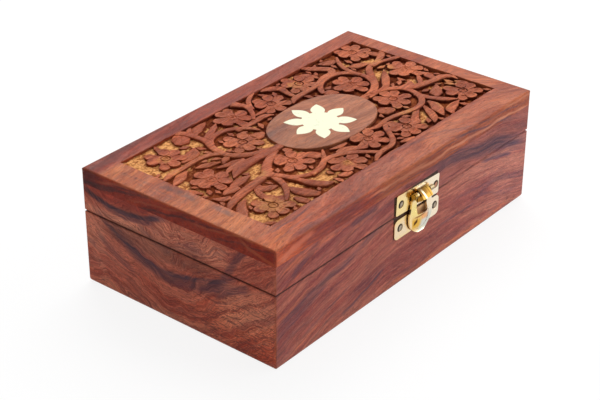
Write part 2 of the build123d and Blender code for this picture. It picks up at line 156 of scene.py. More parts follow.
def timber_group():
    """Figured hardwood: broad bands, streaks, dark veins, fibres and pores along the vector's X."""
    tree, given, out = group("timber", [
        ("Grain", "Vector", None), ("Pale", "Color", (0.5, 0.2, 0.12, 1)),
        ("Ground", "Color", (0.4, 0.14, 0.1, 1)), ("Deep", "Color", (0.25, 0.08, 0.06, 1)),
        ("Vein", "Color", (0.1, 0.06, 0.07, 1)),
        ("Veins", "Float", 1.0), ("Stain", "Float", 0.0), ("Bleach", "Float", 0.0), ("Curl", "Float", 0.0)],
        [("Color", "Color"), ("Roughness", "Float"), ("Height", "Float")])
    grain = given["Grain"]
    bands = mottle(tree, stretched(tree, grain, (6, 62, 62)), 1, 4, 0.55, 0.8)
    flames = mottle(tree, stretched(tree, grain, (13, 150, 150), (7, 7, 1)), 1, 4, 0.6, 0.9)
    streaks = mottle(tree, stretched(tree, grain, (30, 400, 400), (3, 1, 7)), 1, 4, 0.62, 0.6)
    dashes = mottle(tree, stretched(tree, grain, (85, 900, 900), (6, 2, 9)), 1, 3, 0.6, 0.4)
    fibres = mottle(tree, stretched(tree, grain, (170, 2600, 2600)), 1, 2, 0.6)
    pores = mottle(tree, stretched(tree, grain, (300, 4000, 4000), (11, 5, 2)), 1, 1, 0.5)
    pores = between(tree, pores, 0.6, 0.7)
    bend = mottle(tree, stretched(tree, grain, (4.5, 40, 40), (9, 4, 1)), 1, 3, 0.5, 1.4)
    ridge = size_of(tree, sums(tree, "SUBTRACT", bend, 0.5))
    vein = between(tree, ridge, 0.0, 0.05, 1, 0)
    breaks = mottle(tree, stretched(tree, grain, (11, 60, 60), (2, 8, 5)), 1, 3, 0.6)
    breaks = between(tree, breaks, 0.42, 0.66)
    vein = times(tree, times(tree, vein, breaks), given["Veins"], clamp=True)
    color = blended(tree, between(tree, bands, 0.44, 0.6), given["Ground"], given["Pale"])
    color = blended(tree, between(tree, bands, 0.48, 0.34, 0, 0.95), color, given["Deep"])
    color = blended(tree, given["Bleach"], color, given["Pale"])
    for pattern, start, end, most, tone in (
            (flames, 0.52, 0.68, 0.75, "Deep"), (flames, 0.46, 0.32, 0.75, "Pale"),
            (streaks, 0.52, 0.7, 0.75, "Deep"), (streaks, 0.46, 0.3, 0.7, "Pale")):
        color = blended(tree, between(tree, pattern, start, end, 0, most), color, given[tone])
    curl = mottle(tree, stretched(tree, grain, (240, 520, 400), (2, 2, 5)), 1, 4, 0.7, 2.6)
    for start, end, tone in ((0.5, 0.6, "Pale"), (0.47, 0.38, "Deep")):
        share = times(tree, between(tree, curl, start, end, 0, 0.85), given["Curl"])
        color = blended(tree, share, color, given[tone])
    ragged = times(tree, given["Stain"], between(tree, streaks, 0.3, 0.6, 0.55, 1.15), clamp=True)
    color = blended(tree, sums(tree, "MAXIMUM", vein, ragged), color, given["Vein"])
    shade = times(tree, between(tree, fibres, 0.3, 0.7, 0.86, 1.14),
                  between(tree, dashes, 0.32, 0.68, 0.82, 1.18))
    color = blended(tree, 1, color, put(tree, "CombineColor", shade, shade, shade).outputs[0], "MULTIPLY")
    color = blended(tree, times(tree, pores, 0.5), color, given["Vein"])
    feed(tree, out["Color"], color)
    feed(tree, out["Roughness"], between(tree, streaks, 0.3, 0.7, 0.36, 0.52))
    feed(tree, out["Height"], sums(tree, "SUBTRACT", times(tree, fibres, 0.5), pores))
    return tree


def arc_group():
    """A soft band along level = height + slope * t + bend * t * t, where t is measured from its middle."""
    names = "Along", "Level", "Middle", "Height", "Slope", "Bend", "Width", "Reach"
    tree, given, out = group("figure_arc", [(name, "Float", 0.0) for name in names], [("Mask", "Float")])
    t = sums(tree, "SUBTRACT", given["Along"], given["Middle"])
    slope = sums(tree, "MULTIPLY_ADD", t, given["Bend"], given["Slope"])
    line = sums(tree, "MULTIPLY_ADD", slope, t, given["Height"])
    off = sums(tree, "DIVIDE", sums(tree, "SUBTRACT", given["Level"], line), given["Width"])
    end = sums(tree, "DIVIDE", t, given["Reach"])
    across = between(tree, size_of(tree, off), 0.25, 1, 1, 0)
    along = between(tree, size_of(tree, end), 0.6, 1, 1, 0)
    feed(tree, out["Mask"], times(tree, across, along))
    return tree


def wear_group():
    """How worn the wood is: most along the outer edges of the closed box, broken up by a mottle."""
    tree, given, out = group("edge_wear", [("Place", "Vector", None)], [("Wear", "Float")])
    x, y, z = put(tree, "SeparateXYZ", given["Place"]).outputs
    from_middle = sums(tree, "SUBTRACT", z, top / 2)
    near = [between(tree, size_of(tree, axis), reach - 1.6 * MM, reach)
            for axis, reach in ((x, half_x), (y, half_y), (from_middle, top / 2))]
    pairs = [times(tree, near[a], near[b]) for a, b in ((0, 1), (1, 2), (0, 2))]
    edge = sums(tree, "MAXIMUM", sums(tree, "MAXIMUM", pairs[0], pairs[1]), pairs[2])
    patchy = between(tree, mottle(tree, given["Place"], 90, 4, 0.6), 0.35, 0.65, 0.25, 1)
    feed(tree, out["Wear"], times(tree, edge, patchy, clamp=True))
    return tree


timber = timber_group()
figure_arc = arc_group()
edge_wear = wear_group()


def material(name, color=(0.5, 0.5, 0.5), roughness=0.5, metallic=0.0):
    """A new material: its tree, its shader, and where it is on the piece."""
    made = bpy.data.materials.new(name)
    made.use_nodes = True
    tree = made.node_tree
    shader = tree.nodes["Principled BSDF"]
    shader.inputs["Base Color"].default_value = (*color, 1)
    shader.inputs["Roughness"].default_value = roughness
    shader.inputs["Metallic"].default_value = metallic
    return made, tree, shader, put(tree, "TexCoord").outputs["Object"]


def placed_group(tree, kind, **values):
    """Places a node group with its own values, and gives its outputs."""
    node = tree.nodes.new("ShaderNodeGroup")
    node.node_tree = kind
    for name, value in values.items():
        feed(tree, node.inputs[name], value)
    return node.outputs


def surfaced(tree, shader, color, roughness, height, depth, specular=0.5):
    """Feeds a shader its colour and roughness, and bumps it by a height times a depth in millimetres."""
    feed(tree, shader.inputs["Base Color"], color)
    feed(tree, shader.inputs["Roughness"], roughness)
    shader.inputs["Specular IOR Level"].default_value = specular
    bump = tree.nodes.new("ShaderNodeBump")
    bump.inputs["Strength"].default_value = 1
    bump.inputs["Distance"].default_value = depth * MM
    feed(tree, bump.inputs["Height"], height)
    feed(tree, shader.inputs["Normal"], bump.outputs[0])


def hardwood(tree, grain, pale, ground, deep, vein, **more):
    """Figured hardwood in four colours, from its palest streaks to its veins."""
    return placed_group(tree, timber, Grain=grain, Pale=(*pale, 1), Ground=(*ground, 1), Deep=(*deep, 1),
                        Vein=(*vein, 1), **more)


def figure(tree, along, level, arcs):
    """The strongest of several arcs, each (middle, height, slope, bend, width, reach, strength), in mm."""
    mask = 0.0
    for middle, height, slope, bend, width, reach, strength in arcs:
        arc = placed_group(tree, figure_arc, Along=along, Level=level, Middle=middle * MM,
                           Height=height * MM, Slope=slope, Bend=bend / MM, Width=width * MM,
                           Reach=reach * MM)["Mask"]
        mask = sums(tree, "MAXIMUM", mask, times(tree, arc, strength))
    return mask


def plate_shadow(tree, x, y, z):
    """A painted shadow: the dark line on the wood close round the catch's two plates."""
    low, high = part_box("catch_lower_plate")[0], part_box("catch_upper_plate")[1]
    spans = (x, low.x, high.x - 1 * MM), (z, low.z + 1 * MM, high.z - 0.4 * MM)
    off = []
    for axis, start, end in spans:
        from_middle = size_of(tree, sums(tree, "SUBTRACT", axis, (start + end) / 2))
        off.append(sums(tree, "SUBTRACT", from_middle, (end - start) / 2))
    behind = between(tree, y, 0.5 * MM - half_y, 0.2 * MM - half_y)
    return times(tree, behind, between(tree, sums(tree, "MAXIMUM", *off), 0.1 * MM, 0.5 * MM, 0.95, 0))


def seam_shade(tree, x, y, z):
    """Painted shade in the seam, on the outer faces only, and fainter to the right of the catch."""
    outside = sums(tree, "MAXIMUM", between(tree, size_of(tree, x), half_x - 1 * MM, half_x - 0.4 * MM),
                   between(tree, size_of(tree, y), half_y - 1 * MM, half_y - 0.4 * MM))
    outside = times(tree, outside, between(tree, sums(tree, "SUBTRACT", x, y), 0.075, 0.09, 1, 0.25))
    off_seam = size_of(tree, sums(tree, "SUBTRACT", z, seam))
    return times(tree, outside, between(tree, off_seam, 0.35 * MM, 0.6 * MM, 0.93, 0))


def varnished(tree, shader, wood, place, color=None):
    """Puts on the wood's colour, paler on worn edges, with painted shade in the seam and round the catch's
    plates, and a thin satin varnish.
    """
    wear = placed_group(tree, edge_wear, Place=place)["Wear"]
    color = blended(tree, times(tree, wear, 0.4), color or wood["Color"], (0.5, 0.17, 0.085, 1))
    axes = put(tree, "SeparateXYZ", place).outputs[:3]
    # painted shade: dark in the seam and round the catch's plates
    seam_and_plate_shade = sums(tree, "MAXIMUM", seam_shade(tree, *axes), plate_shadow(tree, *axes))
    color = blended(tree, seam_and_plate_shade, color, (0.02, 0.006, 0.005, 1))
    roughness = sums(tree, "ADD", wood["Roughness"], times(tree, wear, 0.15))
    surfaced(tree, shader, color, roughness, wood["Height"], 0.12, specular=0.14)


def tinted(tree, share, color, tint):
    """The colour, multiplied by a tint where the share is high."""
    return blended(tree, share, color, blended(tree, 1, color, (*tint, 1), "MULTIPLY"))


def wandering(tree, place, level, amount=0.003, scale=14):
    """The level, pushed up and down a little from place to place."""
    push = times(tree, sums(tree, "SUBTRACT", mottle(tree, place, scale, 3), 0.5), amount * 2)
    return sums(tree, "ADD", level, push)


def front_wood():
    """Front and back walls: streaks that climb to the right, level out and dip, under a wide dark band."""
    made, tree, shader, place = material("rosewood_along")
    x, y, z = put(tree, "SeparateXYZ", place).outputs
    loose = wandering(tree, place, z, 0.004, 30)
    climb = times(tree, sums(tree, "POWER", size_of(tree, sums(tree, "SUBTRACT", x, 0.02)), 2), 1.5)
    grain = put(tree, "CombineXYZ", x, sums(tree, "ADD", loose, climb), y).outputs[0]
    stain = figure(tree, x, loose, [
        (56, 46.4, -0.2, -0.0012, 6.4, 50, 0.84), (52, 46.8, -0.2, 0, 2.6, 34, 0.85),
        (72, 35.5, -0.25, 0, 1.6, 16, 0.7), (-70, 29, 0.28, -0.001, 3.2, 34, 0.6),
        (-85, 20, 0.4, 0, 2.6, 26, 0.55), (-38, 9.5, 0.26, 0, 1.5, 20, 0.7),
        (38, 17.5, -0.03, 0, 1.2, 20, 0.5), (-80, 48, 0.6, 0, 3.5, 12, 0.6),
        (-38, 51.5, 0, 0, 2.2, 12, 0.6), (10, 51, -0.1, 0, 1.6, 24, 0.4), (-64, 14, 0.34, 0, 1, 22, 0.5),
        (60, 24, -0.12, 0, 1, 30, 0.4)])
    bleach = figure(tree, x, loose, [
        (15, 2.5, 0, 0, 3, 80, 0.8), (-70, 5, 0.3, 0, 2.5, 30, 0.6), (88, 20, -0.1, 0, 14, 24, 0.7),
        (-90, 33, 0.3, 0, 3, 18, 0.6), (-62, 52.5, 0, 0, 2, 18, 0.6), (-48, 41, 0.05, 0, 1.5, 26, 0.4)])
    wood = hardwood(tree, grain, (0.54, 0.165, 0.105), (0.38, 0.083, 0.062), (0.225, 0.040, 0.042),
                    (0.10, 0.043, 0.065), Veins=0.6, Stain=stain, Bleach=bleach, Curl=0.4)
    # painted shade: the lid's part of the wall darker
    color = tinted(tree, between(tree, z, 0.036, 0.043, 0, 1), wood["Color"], (0.84, 0.76, 0.84))
    # painted light: the base's right end paler and bluer
    far = times(tree, between(tree, x, 0.0, 0.09), between(tree, z, 0.044, 0.036))
    color = tinted(tree, far, color, (1.12, 1.27, 1.42))
    ember = figure(tree, x, wandering(tree, place, z, 0.004, 80), [
        (-78, 50.5, 0.12, 0, 2.6, 22, 0.8), (-55, 52.4, 0.05, 0, 1.2, 24, 0.8),
        (-84, 44, 0.4, 0, 1.6, 16, 0.7), (-46, 47, 0.3, 0, 1.2, 12, 0.5),
        (-90, 27, 0.3, 0, 1.6, 14, 0.7), (35, 2.6, 0, 0, 1.8, 66, 0.8), (-70, 9, 0.3, 0, 1.2, 22, 0.5),
        (-22, 41, 0.1, 0, 1, 20, 0.4)])
    color = tinted(tree, ember, color, (1.42, 1.3, 0.95))
    varnished(tree, shader, wood, place, color)
    return made


def side_wood():
    """Left and right walls: darker, with dark arcs sagging one under the other round a tan curl."""
    made, tree, shader, place = material("rosewood_across")
    x, y, z = put(tree, "SeparateXYZ", place).outputs
    loose = wandering(tree, place, z, 0.0035, 36)
    sag = times(tree, sums(tree, "POWER", size_of(tree, sums(tree, "SUBTRACT", y, 0.006)), 2), -6.0)
    swirl = wandering(tree, place, sag, 0.018, 26)
    along = wandering(tree, place, y, 0.012, 60)
    grain = put(tree, "CombineXYZ", along, sums(tree, "ADD", loose, swirl), x).outputs[0]
    stain = figure(tree, y, loose, [
        (5, 25.8, 0, 0.0073, 2.4, 50, 0.85), (2, 24.2, 0, 0.0073, 5.2, 42, 0.7),
        (-33, 30.5, -0.5, 0, 3.4, 12, 0.6), (33, 46.6, 0, 0.0082, 2.6, 32, 0.9),
        (30, 44.6, 0, 0.009, 2.2, 20, 0.7), (-35, 46, -1.6, 0, 6, 14, 0.6),
        (38, 23, 0.5, 0, 3.2, 14, 0.45)])
    pale = figure(tree, y, loose, [
        (-8, 47, 0, 0, 9.5, 28, 1), (38, 41.6, 0, 0, 3.2, 26, 0.9), (-42, 24, 0, 0, 17, 20, 0.75),
        (56, 30, 0, 0, 14, 13, 0.6), (46, 8, 1.6, 0, 6, 14, 0.5), (10, 3, 0, 0, 4, 50, 0.6)])
    dusk = figure(tree, y, loose, [(12, 35.5, 0, 0, 8, 42, 0.75)])
    ember = figure(tree, y, loose, [(46, 53.5, 0, 0.002, 9, 40, 1)])
    ripple = mottle(tree, stretched(tree, place, (110, 110, 640), (4, 4, 4)), 1, 3, 0.6, 1.6)
    curl = sums(tree, "MULTIPLY_ADD", pale, 0.3, 0.7)
    wood = hardwood(tree, grain, (0.68, 0.175, 0.098), (0.50, 0.080, 0.040), (0.27, 0.037, 0.024),
                    (0.075, 0.028, 0.042), Veins=0.4, Stain=stain, Bleach=times(tree, pale, 0.35),
                    Curl=curl)
    color = tinted(tree, pale, wood["Color"], (1.2, 1.62, 1.68))
    color = tinted(tree, dusk, color, (0.52, 0.66, 0.70))
    color = tinted(tree, ember, color, (0.62, 0.30, 0.26))
    # painted light: the lower front of the wall paler
    painted_light_low_front = times(tree, between(tree, y, 0.01, -0.045), between(tree, z, 0.034, 0.012))
    color = tinted(tree, painted_light_low_front, color, (1.32, 1.34, 1.22))
    low_right = times(tree, between(tree, y, 0.02, -0.03), between(tree, z, 0.036, 0.02))
    ripple = times(tree, between(tree, ripple, 0.5, 0.62),
                   sums(tree, "MULTIPLY_ADD", low_right, 0.45, 0.25))
    color = blended(tree, ripple, color, (0.15, 0.035, 0.03, 1))
    varnished(tree, shader, wood, place, color)
    return made


def top_wood():
    """The lid's board: tan and pink on top, orange along its long edges, dark red on its ends."""
    made, tree, shader, place = material("board_wood")
    x, y, z = put(tree, "SeparateXYZ", place).outputs
    loose = wandering(tree, place, y, 0.008, 16)
    below = sums(tree, "SUBTRACT", z, top)
    ends = between(tree, size_of(tree, x), half_x - 1 * MM, half_x - 0.2 * MM)
    edges = between(tree, size_of(tree, y), half_y - 1 * MM, half_y - 0.1 * MM)
    tilt = times(tree, times(tree, y, 0.2), ends)
    along = blended(tree, ends, x, y)
    dip = times(tree, sums(tree, "POWER", sums(tree, "MAXIMUM", x, 0), 2),
                between(tree, y, 0, -0.045, 0, 2.6))
    loose = sums(tree, "ADD", loose, dip)
    level = times(tree, sums(tree, "ADD", loose, times(tree, x, -0.12)), 0.62)
    grain = put(tree, "CombineXYZ", along, level, sums(tree, "ADD", below, tilt)).outputs[0]
    uneven = wandering(tree, place, z, 0.0025, 60)
    stain = figure(tree, x, loose, [
        (-62, -56.5, 0, 0, 2.5, 30, 0.3), (-70, 57, 0.1, 0, 5, 60, 0.45),
        (30, -48, -0.2, 0, 1.4, 36, 0.35), (56, -52, -0.25, 0, 1.8, 34, 0.4),
        (-76, -47.4, 0.02, 0.008, 0.9, 16, 0.6), (-80, -52, 0.1, 0.006, 0.8, 18, 0.45),
        (93, -52, -0.6, 0, 1.6, 8, 0.5)])
    bruise = figure(tree, wandering(tree, place, y, 0.006, 70), wandering(tree, place, x, 0.004, 60), [
        (7, -88.4, 0, 0, 3.6, 13, 1), (-19, -87.6, 0, 0, 2.6, 8, 0.9),
        (12, -93.5, 0, 0.01, 0.9, 16, 0.5), (14, -96, 0, 0.01, 0.9, 18, 0.4),
        (30, -91, 0, 0, 1.5, 12, 0.4)])
    bruise = times(tree, bruise, between(tree, mottle(tree, place, 230, 4, 0.65), 0.35, 0.6, 0.35, 1))
    dark = figure(tree, y, uneven, [
        (50, 55.5, -0.14, 0, 2, 18, 0.9), (30, 58, -0.2, 0, 1, 26, 0.85),
        (4, 56.5, -0.16, 0, 0.9, 24, 0.85), (-14, 59, -0.14, 0, 0.8, 18, 0.7),
        (-40, 57.5, -0.15, 0, 0.9, 20, 0.7), (22, 60.5, -0.1, 0, 0.7, 22, 0.7)])
    fire = figure(tree, y, uneven, [
        (36, 60, -0.15, 0, 0.9, 20, 0.7), (12, 58, -0.16, 0, 0.8, 20, 0.6),
        (-28, 59.5, -0.12, 0, 0.8, 22, 0.8), (-48, 56, 0.3, 0, 1.4, 12, 0.9)])
    lines = figure(tree, x, uneven, [
        (58, 57.2, -0.17, 0, 1.2, 34, 0.9), (70, 59.4, -0.12, 0, 0.7, 30, 0.7),
        (-40, 57, 0.05, 0, 0.8, 30, 0.5), (10, 55, -0.04, 0, 0.6, 40, 0.6),
        (-72, 58.5, 0.4, 0, 1.5, 9, 0.5), (30, 59.6, -0.03, 0, 0.5, 26, 0.6),
        (-60, 56.4, 0.1, 0, 1.4, 26, 0.5), (-44, 60, 0.02, 0, 0.9, 20, 0.6)])
    glow = figure(tree, x, uneven, [
        (35, 56.6, -0.03, 0, 1.1, 60, 0.9), (82, 55, -0.08, 0, 1, 20, 0.9),
        (-12, 58.6, 0, 0, 0.9, 26, 0.8), (-86, 57, 0.2, 0, 2.4, 14, 0.8), (88, 60, 0, 0, 1, 14, 0.6)])
    stain = sums(tree, "MAXIMUM", stain, times(tree, dark, ends))
    stain = sums(tree, "MAXIMUM", stain, times(tree, lines, edges))
    wood = hardwood(tree, grain, (0.51, 0.132, 0.047), (0.40, 0.086, 0.031), (0.27, 0.047, 0.019),
                    (0.15, 0.055, 0.058), Veins=0.2, Stain=stain, Curl=0.3)
    red = blended(tree, 1, wood["Color"], (0.72, 0.27, 0.20, 1), "MULTIPLY")
    red = blended(tree, fire, red, (0.36, 0.065, 0.025, 1))
    color = blended(tree, ends, wood["Color"], red)
    color = blended(tree, times(tree, glow, edges), color, (0.62, 0.22, 0.11, 1))
    ruddy = times(tree, edges, between(tree, x, -0.02, -0.034))
    color = tinted(tree, ruddy, color, (1.26, 0.96, 1.04))
    color = tinted(tree, times(tree, edges, between(tree, x, 0.01, 0.04)), color, (1.14, 1.16, 1.24))
    warm = times(tree, between(tree, y, -0.043, -0.048), between(tree, x, -0.035, -0.055))
    warm = times(tree, warm, between(tree, edges, 0.1, 0.0))
    color = tinted(tree, warm, color, (1.16, 1.03, 0.84))
    back = times(tree, between(tree, y, 0.044, 0.05), between(tree, x, 0.1, -0.06, 0.35, 1))
    color = tinted(tree, back, color, (0.59, 0.28, 0.24))
    left = times(tree, between(tree, x, -0.082, -0.088), between(tree, z, top - 1 * MM, top - 0.3 * MM))
    color = tinted(tree, left, color, (1.18, 1.32, 1.12))
    color = tinted(tree, times(tree, bruise, left), color, (0.52, 0.74, 1.4))
    cloudy = between(tree, mottle(tree, place, 26, 3, 0.6, 0.8), 0.42, 0.66, 0, 0.8)
    color = tinted(tree, cloudy, color, (0.84, 0.74, 0.78))
    varnished(tree, shader, wood, place, color)
    return made


def medallion_wood():
    """The oval: a greyer tan, its grain running slantwise."""
    made, tree, shader, place = material("medallion_wood")
    x, y, z = put(tree, "SeparateXYZ", place).outputs
    across = times(tree, wandering(tree, place, y, 0.008, 30), 0.55)
    swell = put(tree, "CombineXYZ", x, across, z).outputs[0]
    slant = put(tree, "Mapping", swell, (0, 0, 0), (0, 0, math.radians(5))).outputs[0]
    wood = hardwood(tree, slant, (0.45, 0.150, 0.066), (0.36, 0.110, 0.049), (0.29, 0.088, 0.045),
                    (0.15, 0.06, 0.055), Veins=0.6, Curl=0.15)
    color = tinted(tree, between(tree, x, 0.004, -0.014), wood["Color"], (0.83, 0.81, 0.74))
    varnished(tree, shader, wood, place, color)
    return made


def shade_and_ground_dark(tree, place):
    """The dark colour of the painted shade in the carving, also the bare ground's darkest tone, lighter to
    the left, and how far to the right a place is.
    """
    right = between(tree, put(tree, "SeparateXYZ", place).outputs[0], -0.055, 0.005)
    return blended(tree, right, (0.125, 0.017, 0.003, 1), (0.070, 0.006, 0.001, 1)), right


def relief_wood():
    """The relief: the board's wood, with painted shade on its steep walls and low down, and rubbed with
    gold here and there.
    """
    made, tree, shader, place = material("carved_wood")
    patch = mottle(tree, place, 45, 2)
    chips = mottle(tree, place, 420, 4, 0.65, 0.6)
    wood = hardwood(tree, place, (0.565, 0.147, 0.056), (0.455, 0.103, 0.039), (0.31, 0.057, 0.021),
                    (0.12, 0.03, 0.02), Veins=0.2, Curl=0.35)
    z = put(tree, "SeparateXYZ", place).outputs[2]
    # painted shade: steep walls dark, more so to the right, and the relief darker low down near the ground
    wall_shade = put(tree, "Attribute", attribute_name="wall_shade").outputs["Fac"]
    dark, right = shade_and_ground_dark(tree, place)
    wall_shade = times(tree, wall_shade, sums(tree, "MULTIPLY_ADD", right, 0.3, 0.6))
    wall_shade = sums(tree, "MAXIMUM", between(tree, z, top - 1.8 * MM, top - 0.5 * MM, 0.9, 0), wall_shade)
    tone = blended(tree, between(tree, patch, 0.35, 0.65), (0.80, 0.80, 0.80, 1), (1.12, 1.12, 1.12, 1))
    color = blended(tree, 1, wood["Color"], tone, "MULTIPLY")
    rubbed = put(tree, "Attribute", attribute_name="rubbed").outputs["Fac"]
    rubbed = sums(tree, "ADD", rubbed, times(tree, sums(tree, "SUBTRACT", chips, 0.5), 1.6))
    color = blended(tree, between(tree, rubbed, 0.6, 1.2, 0, 0.6), color, (0.72, 0.30, 0.085, 1))
    color = blended(tree, wall_shade, color, dark)
    height = sums(tree, "ADD", wood["Height"], times(tree, chips, 3))
    surfaced(tree, shader, color, wood["Roughness"], height, 0.14, specular=0.09)
    return made


def ground_finish():
    """The sunk ground: punched, with painted shade and some dark stain close to the relief, and gold paint
    where the brush reached.
    """
    made, tree, shader, place = material("gilded_ground")
    gilt = put(tree, "Attribute", attribute_name="gilt").outputs["Fac"]
    near = put(tree, "Attribute", attribute_name="near").outputs["Fac"]
    speckle = mottle(tree, place, 520, 5, 0.7, 0.5)
    blotch = mottle(tree, place, 110, 3, 0.6)
    cover = sums(tree, "ADD", gilt, times(tree, sums(tree, "SUBTRACT", speckle, 0.5), 1.0))
    cover = sums(tree, "ADD", cover, times(tree, sums(tree, "SUBTRACT", blotch, 0.5), 1.2))
    dark, right = shade_and_ground_dark(tree, place)
    cover = sums(tree, "ADD", cover, sums(tree, "MULTIPLY_ADD", right, -0.3, 0.3))
    gold = between(tree, cover, 0.35, 0.7)
    bare = blended(tree, between(tree, blotch, 0.35, 0.65), dark, (0.28, 0.062, 0.018, 1))
    bare = blended(tree, between(tree, speckle, 0.5, 0.66, 0, 0.75), bare, (0.50, 0.17, 0.055, 1))
    stroke = mottle(tree, stretched(tree, place, (230, 420, 300)), 1, 4, 0.7, 1.2)
    stroke = sums(tree, "MULTIPLY_ADD", stroke, 0.6, times(tree, speckle, 0.4))
    paint = blended(tree, between(tree, stroke, 0.41, 0.58), (0.36, 0.10, 0.022, 1), (0.98, 0.47, 0.165, 1))
    color = blended(tree, gold, bare, paint)
    # painted shade, partly dark stain: the ground darker close to the relief and walls, more so to the
    # right
    close = times(tree, between(tree, near, 0.25, 1.4, 0.9, 0), sums(tree, "MULTIPLY_ADD", right, 0.3, 0.7))
    color = blended(tree, close, color, dark)
    roughness = between(tree, gold, 0, 1, 0.75, 0.5)
    surfaced(tree, shader, color, roughness, sums(tree, "ADD", speckle, blotch), 0.6, specular=0.04)
    return made


def plain(name, color, roughness, metallic=0.0, depth=0.86):
    """A finish with a little mottle in its colour, its gloss and its surface."""
    made, tree, shader, place = material(name, color, roughness, metallic)
    cloud = mottle(tree, place, 260, 4, 0.6)
    grain = mottle(tree, place, 1800, 2, 0.6)
    low = tuple(depth * part for part in color)
    color = blended(tree, between(tree, cloud, 0.3, 0.7), (*low, 1), (*color, 1))
    gloss = between(tree, cloud, 0.25, 0.75, roughness * 0.7, roughness * 1.3)
    surfaced(tree, shader, color, gloss, grain, 0.02)
    return made


def off_place(tree, place, middle):
    """How far a place lies from an axis that runs front to back through this middle."""
    flat = stretched(tree, place, (1, 0, 1))
    return put(tree, "VectorMath", flat, (middle[0], 0, middle[1]), operation="DISTANCE").outputs["Value"]


def plated(name, painted_light_marks, strap_painted_light=(), heads=(), reflection_spot=None):
    """Bright brass with painted reflections, yellow on the left, paler to the right, darker on its turns;
    painted shade round the nails.
    """
    made, tree, shader, place = material(name, (0.9, 0.74, 0.5), 0.2, 1)
    x, y, z = put(tree, "SeparateXYZ", place).outputs
    cloud = mottle(tree, place, 210, 3, 0.6)
    fine = mottle(tree, place, 1500, 3, 0.6)
    # painted reflection: yellow on the left, paler to the right
    across = sums(tree, "ADD", x, times(tree, sums(tree, "SUBTRACT", cloud, 0.5), 0.03))
    across = between(tree, across, -0.012, 0.014)
    color = blended(tree, across, (0.88, 0.64, 0.30, 1), (0.88, 0.75, 0.56, 1))
    # painted reflections and shade at given places on the plates
    for tint, arcs in painted_light_marks:
        color = blended(tree, figure(tree, x, z, arcs), color, (*tint, 1))
    raised = between(tree, y, -1.05 * MM - half_y, -1.3 * MM - half_y)
    # painted highlights and shade along the raised strap
    for tint, arcs in strap_painted_light:
        color = blended(tree, times(tree, raised, figure(tree, z, x, arcs)), color, (*tint, 1))
    # a matt painted reflection, in place of the polished metal seen through the hasp's window
    if reflection_spot:
        off = off_place(tree, place, (reflection_spot[0] * MM, reflection_spot[1] * MM))
        painted_reflection = between(tree, off, 4 * MM, 6.5 * MM, 1, 0)
        color = blended(tree, painted_reflection, color, (1.0, 0.61, 0.30, 1))
        feed(tree, shader.inputs["Metallic"], between(tree, painted_reflection, 0, 1, 1, 0.1))
    # random tarnish, and painted shade in the gap round each nail head
    tarnish_and_gap_shade = between(tree, fine, 0.6, 0.8, 0, 0.35)
    for middle in heads:
        off = off_place(tree, place, middle)
        tarnish_and_gap_shade = sums(tree, "MAXIMUM", tarnish_and_gap_shade, between(tree, off, 1.8 * MM, 2.4 * MM, 0.95, 0))
    color = blended(tree, tarnish_and_gap_shade, color, (0.10, 0.045, 0.012, 1))
    roughness = sums(tree, "ADD", between(tree, cloud, 0.3, 0.7, 0.16, 0.28), times(tree, tarnish_and_gap_shade, 0.4))
    surfaced(tree, shader, color, roughness, sums(tree, "ADD", cloud, times(tree, fine, 0.06)), 0.3)
    return made


def nail_finish(heads):
    """Domed brownish steel nail heads, with painted shade, black, in the gap on their upper left."""
    made, tree, shader, place = material("nail_steel", (0.3, 0.24, 0.18), 0.4, 1)
    cloud = mottle(tree, place, 900, 3, 0.6)
    color = blended(tree, between(tree, cloud, 0.35, 0.65), (0.26, 0.20, 0.14, 1), (0.50, 0.42, 0.32, 1))
    coppery = between(tree, off_place(tree, place, heads[1]), 2 * MM, 2.4 * MM, 0.8, 0)
    color = blended(tree, coppery, color, (0.46, 0.19, 0.10, 1))
    # painted shade: a black crescent in the gap on each head's upper left
    dark = 1.0
    for along, up in heads:
        off = off_place(tree, place, (along + 0.45 * MM, up - 0.4 * MM))
        dark = sums(tree, "MINIMUM", dark, between(tree, off, 1.2 * MM, 1.6 * MM, 0, 0.95))
    color = blended(tree, dark, color, (0.02, 0.012, 0.008, 1))
    surfaced(tree, shader, color, between(tree, cloud, 0.3, 0.7, 0.34, 0.55), cloud, 0.1)
    return made


def nap():
    """Velvet: a deep pile that catches the light along brushed patches."""
    made, tree, shader, place = material("velvet", (0.3, 0.01, 0.02), 0.85)
    brushed = mottle(tree, place, 38, 3, 0.55, 0.8)
    pile = mottle(tree, place, 2600, 2, 0.7)
    color = between(tree, brushed, 0.38, 0.62)
    color = blended(tree, color, (0.19, 0.005, 0.012, 1), (0.33, 0.012, 0.025, 1))
    color = blended(tree, between(tree, pile, 0.4, 0.75, 0, 0.5), color, (0.07, 0.002, 0.005, 1))
    surfaced(tree, shader, color, between(tree, brushed, 0.3, 0.7, 0.7, 0.95), pile, 0.3, specular=0.1)
    shader.inputs["Sheen Weight"].default_value = 0.35
    shader.inputs["Sheen Roughness"].default_value = 0.35
    shader.inputs["Sheen Tint"].default_value = (1, 0.45, 0.5, 1)
    return made


def head_places(name):
    """Where each nail head of a node has its middle, (along, up), the left one first."""
    corners = [v.co for v in nodes[name].data.vertices]
    middle = sum(v.x for v in corners) / len(corners)
    places = []
    for one in ([v for v in corners if v.x < middle], [v for v in corners if v.x > middle]):
        places.append(tuple((min(v[axis] for v in one) + max(v[axis] for v in one)) / 2 for axis in (0, 2)))
    return places


wood_along = front_wood()
wood_across = side_wood()
board_wood = top_wood()
oval_wood = medallion_wood()
carved_wood = relief_wood()
gilded_ground = ground_finish()
bone = plain("bone", (0.89, 0.90, 0.61), 0.35, 0, 0.95)
NAIL_HEADS = head_places("catch_upper_nails") + head_places("catch_lower_nails")
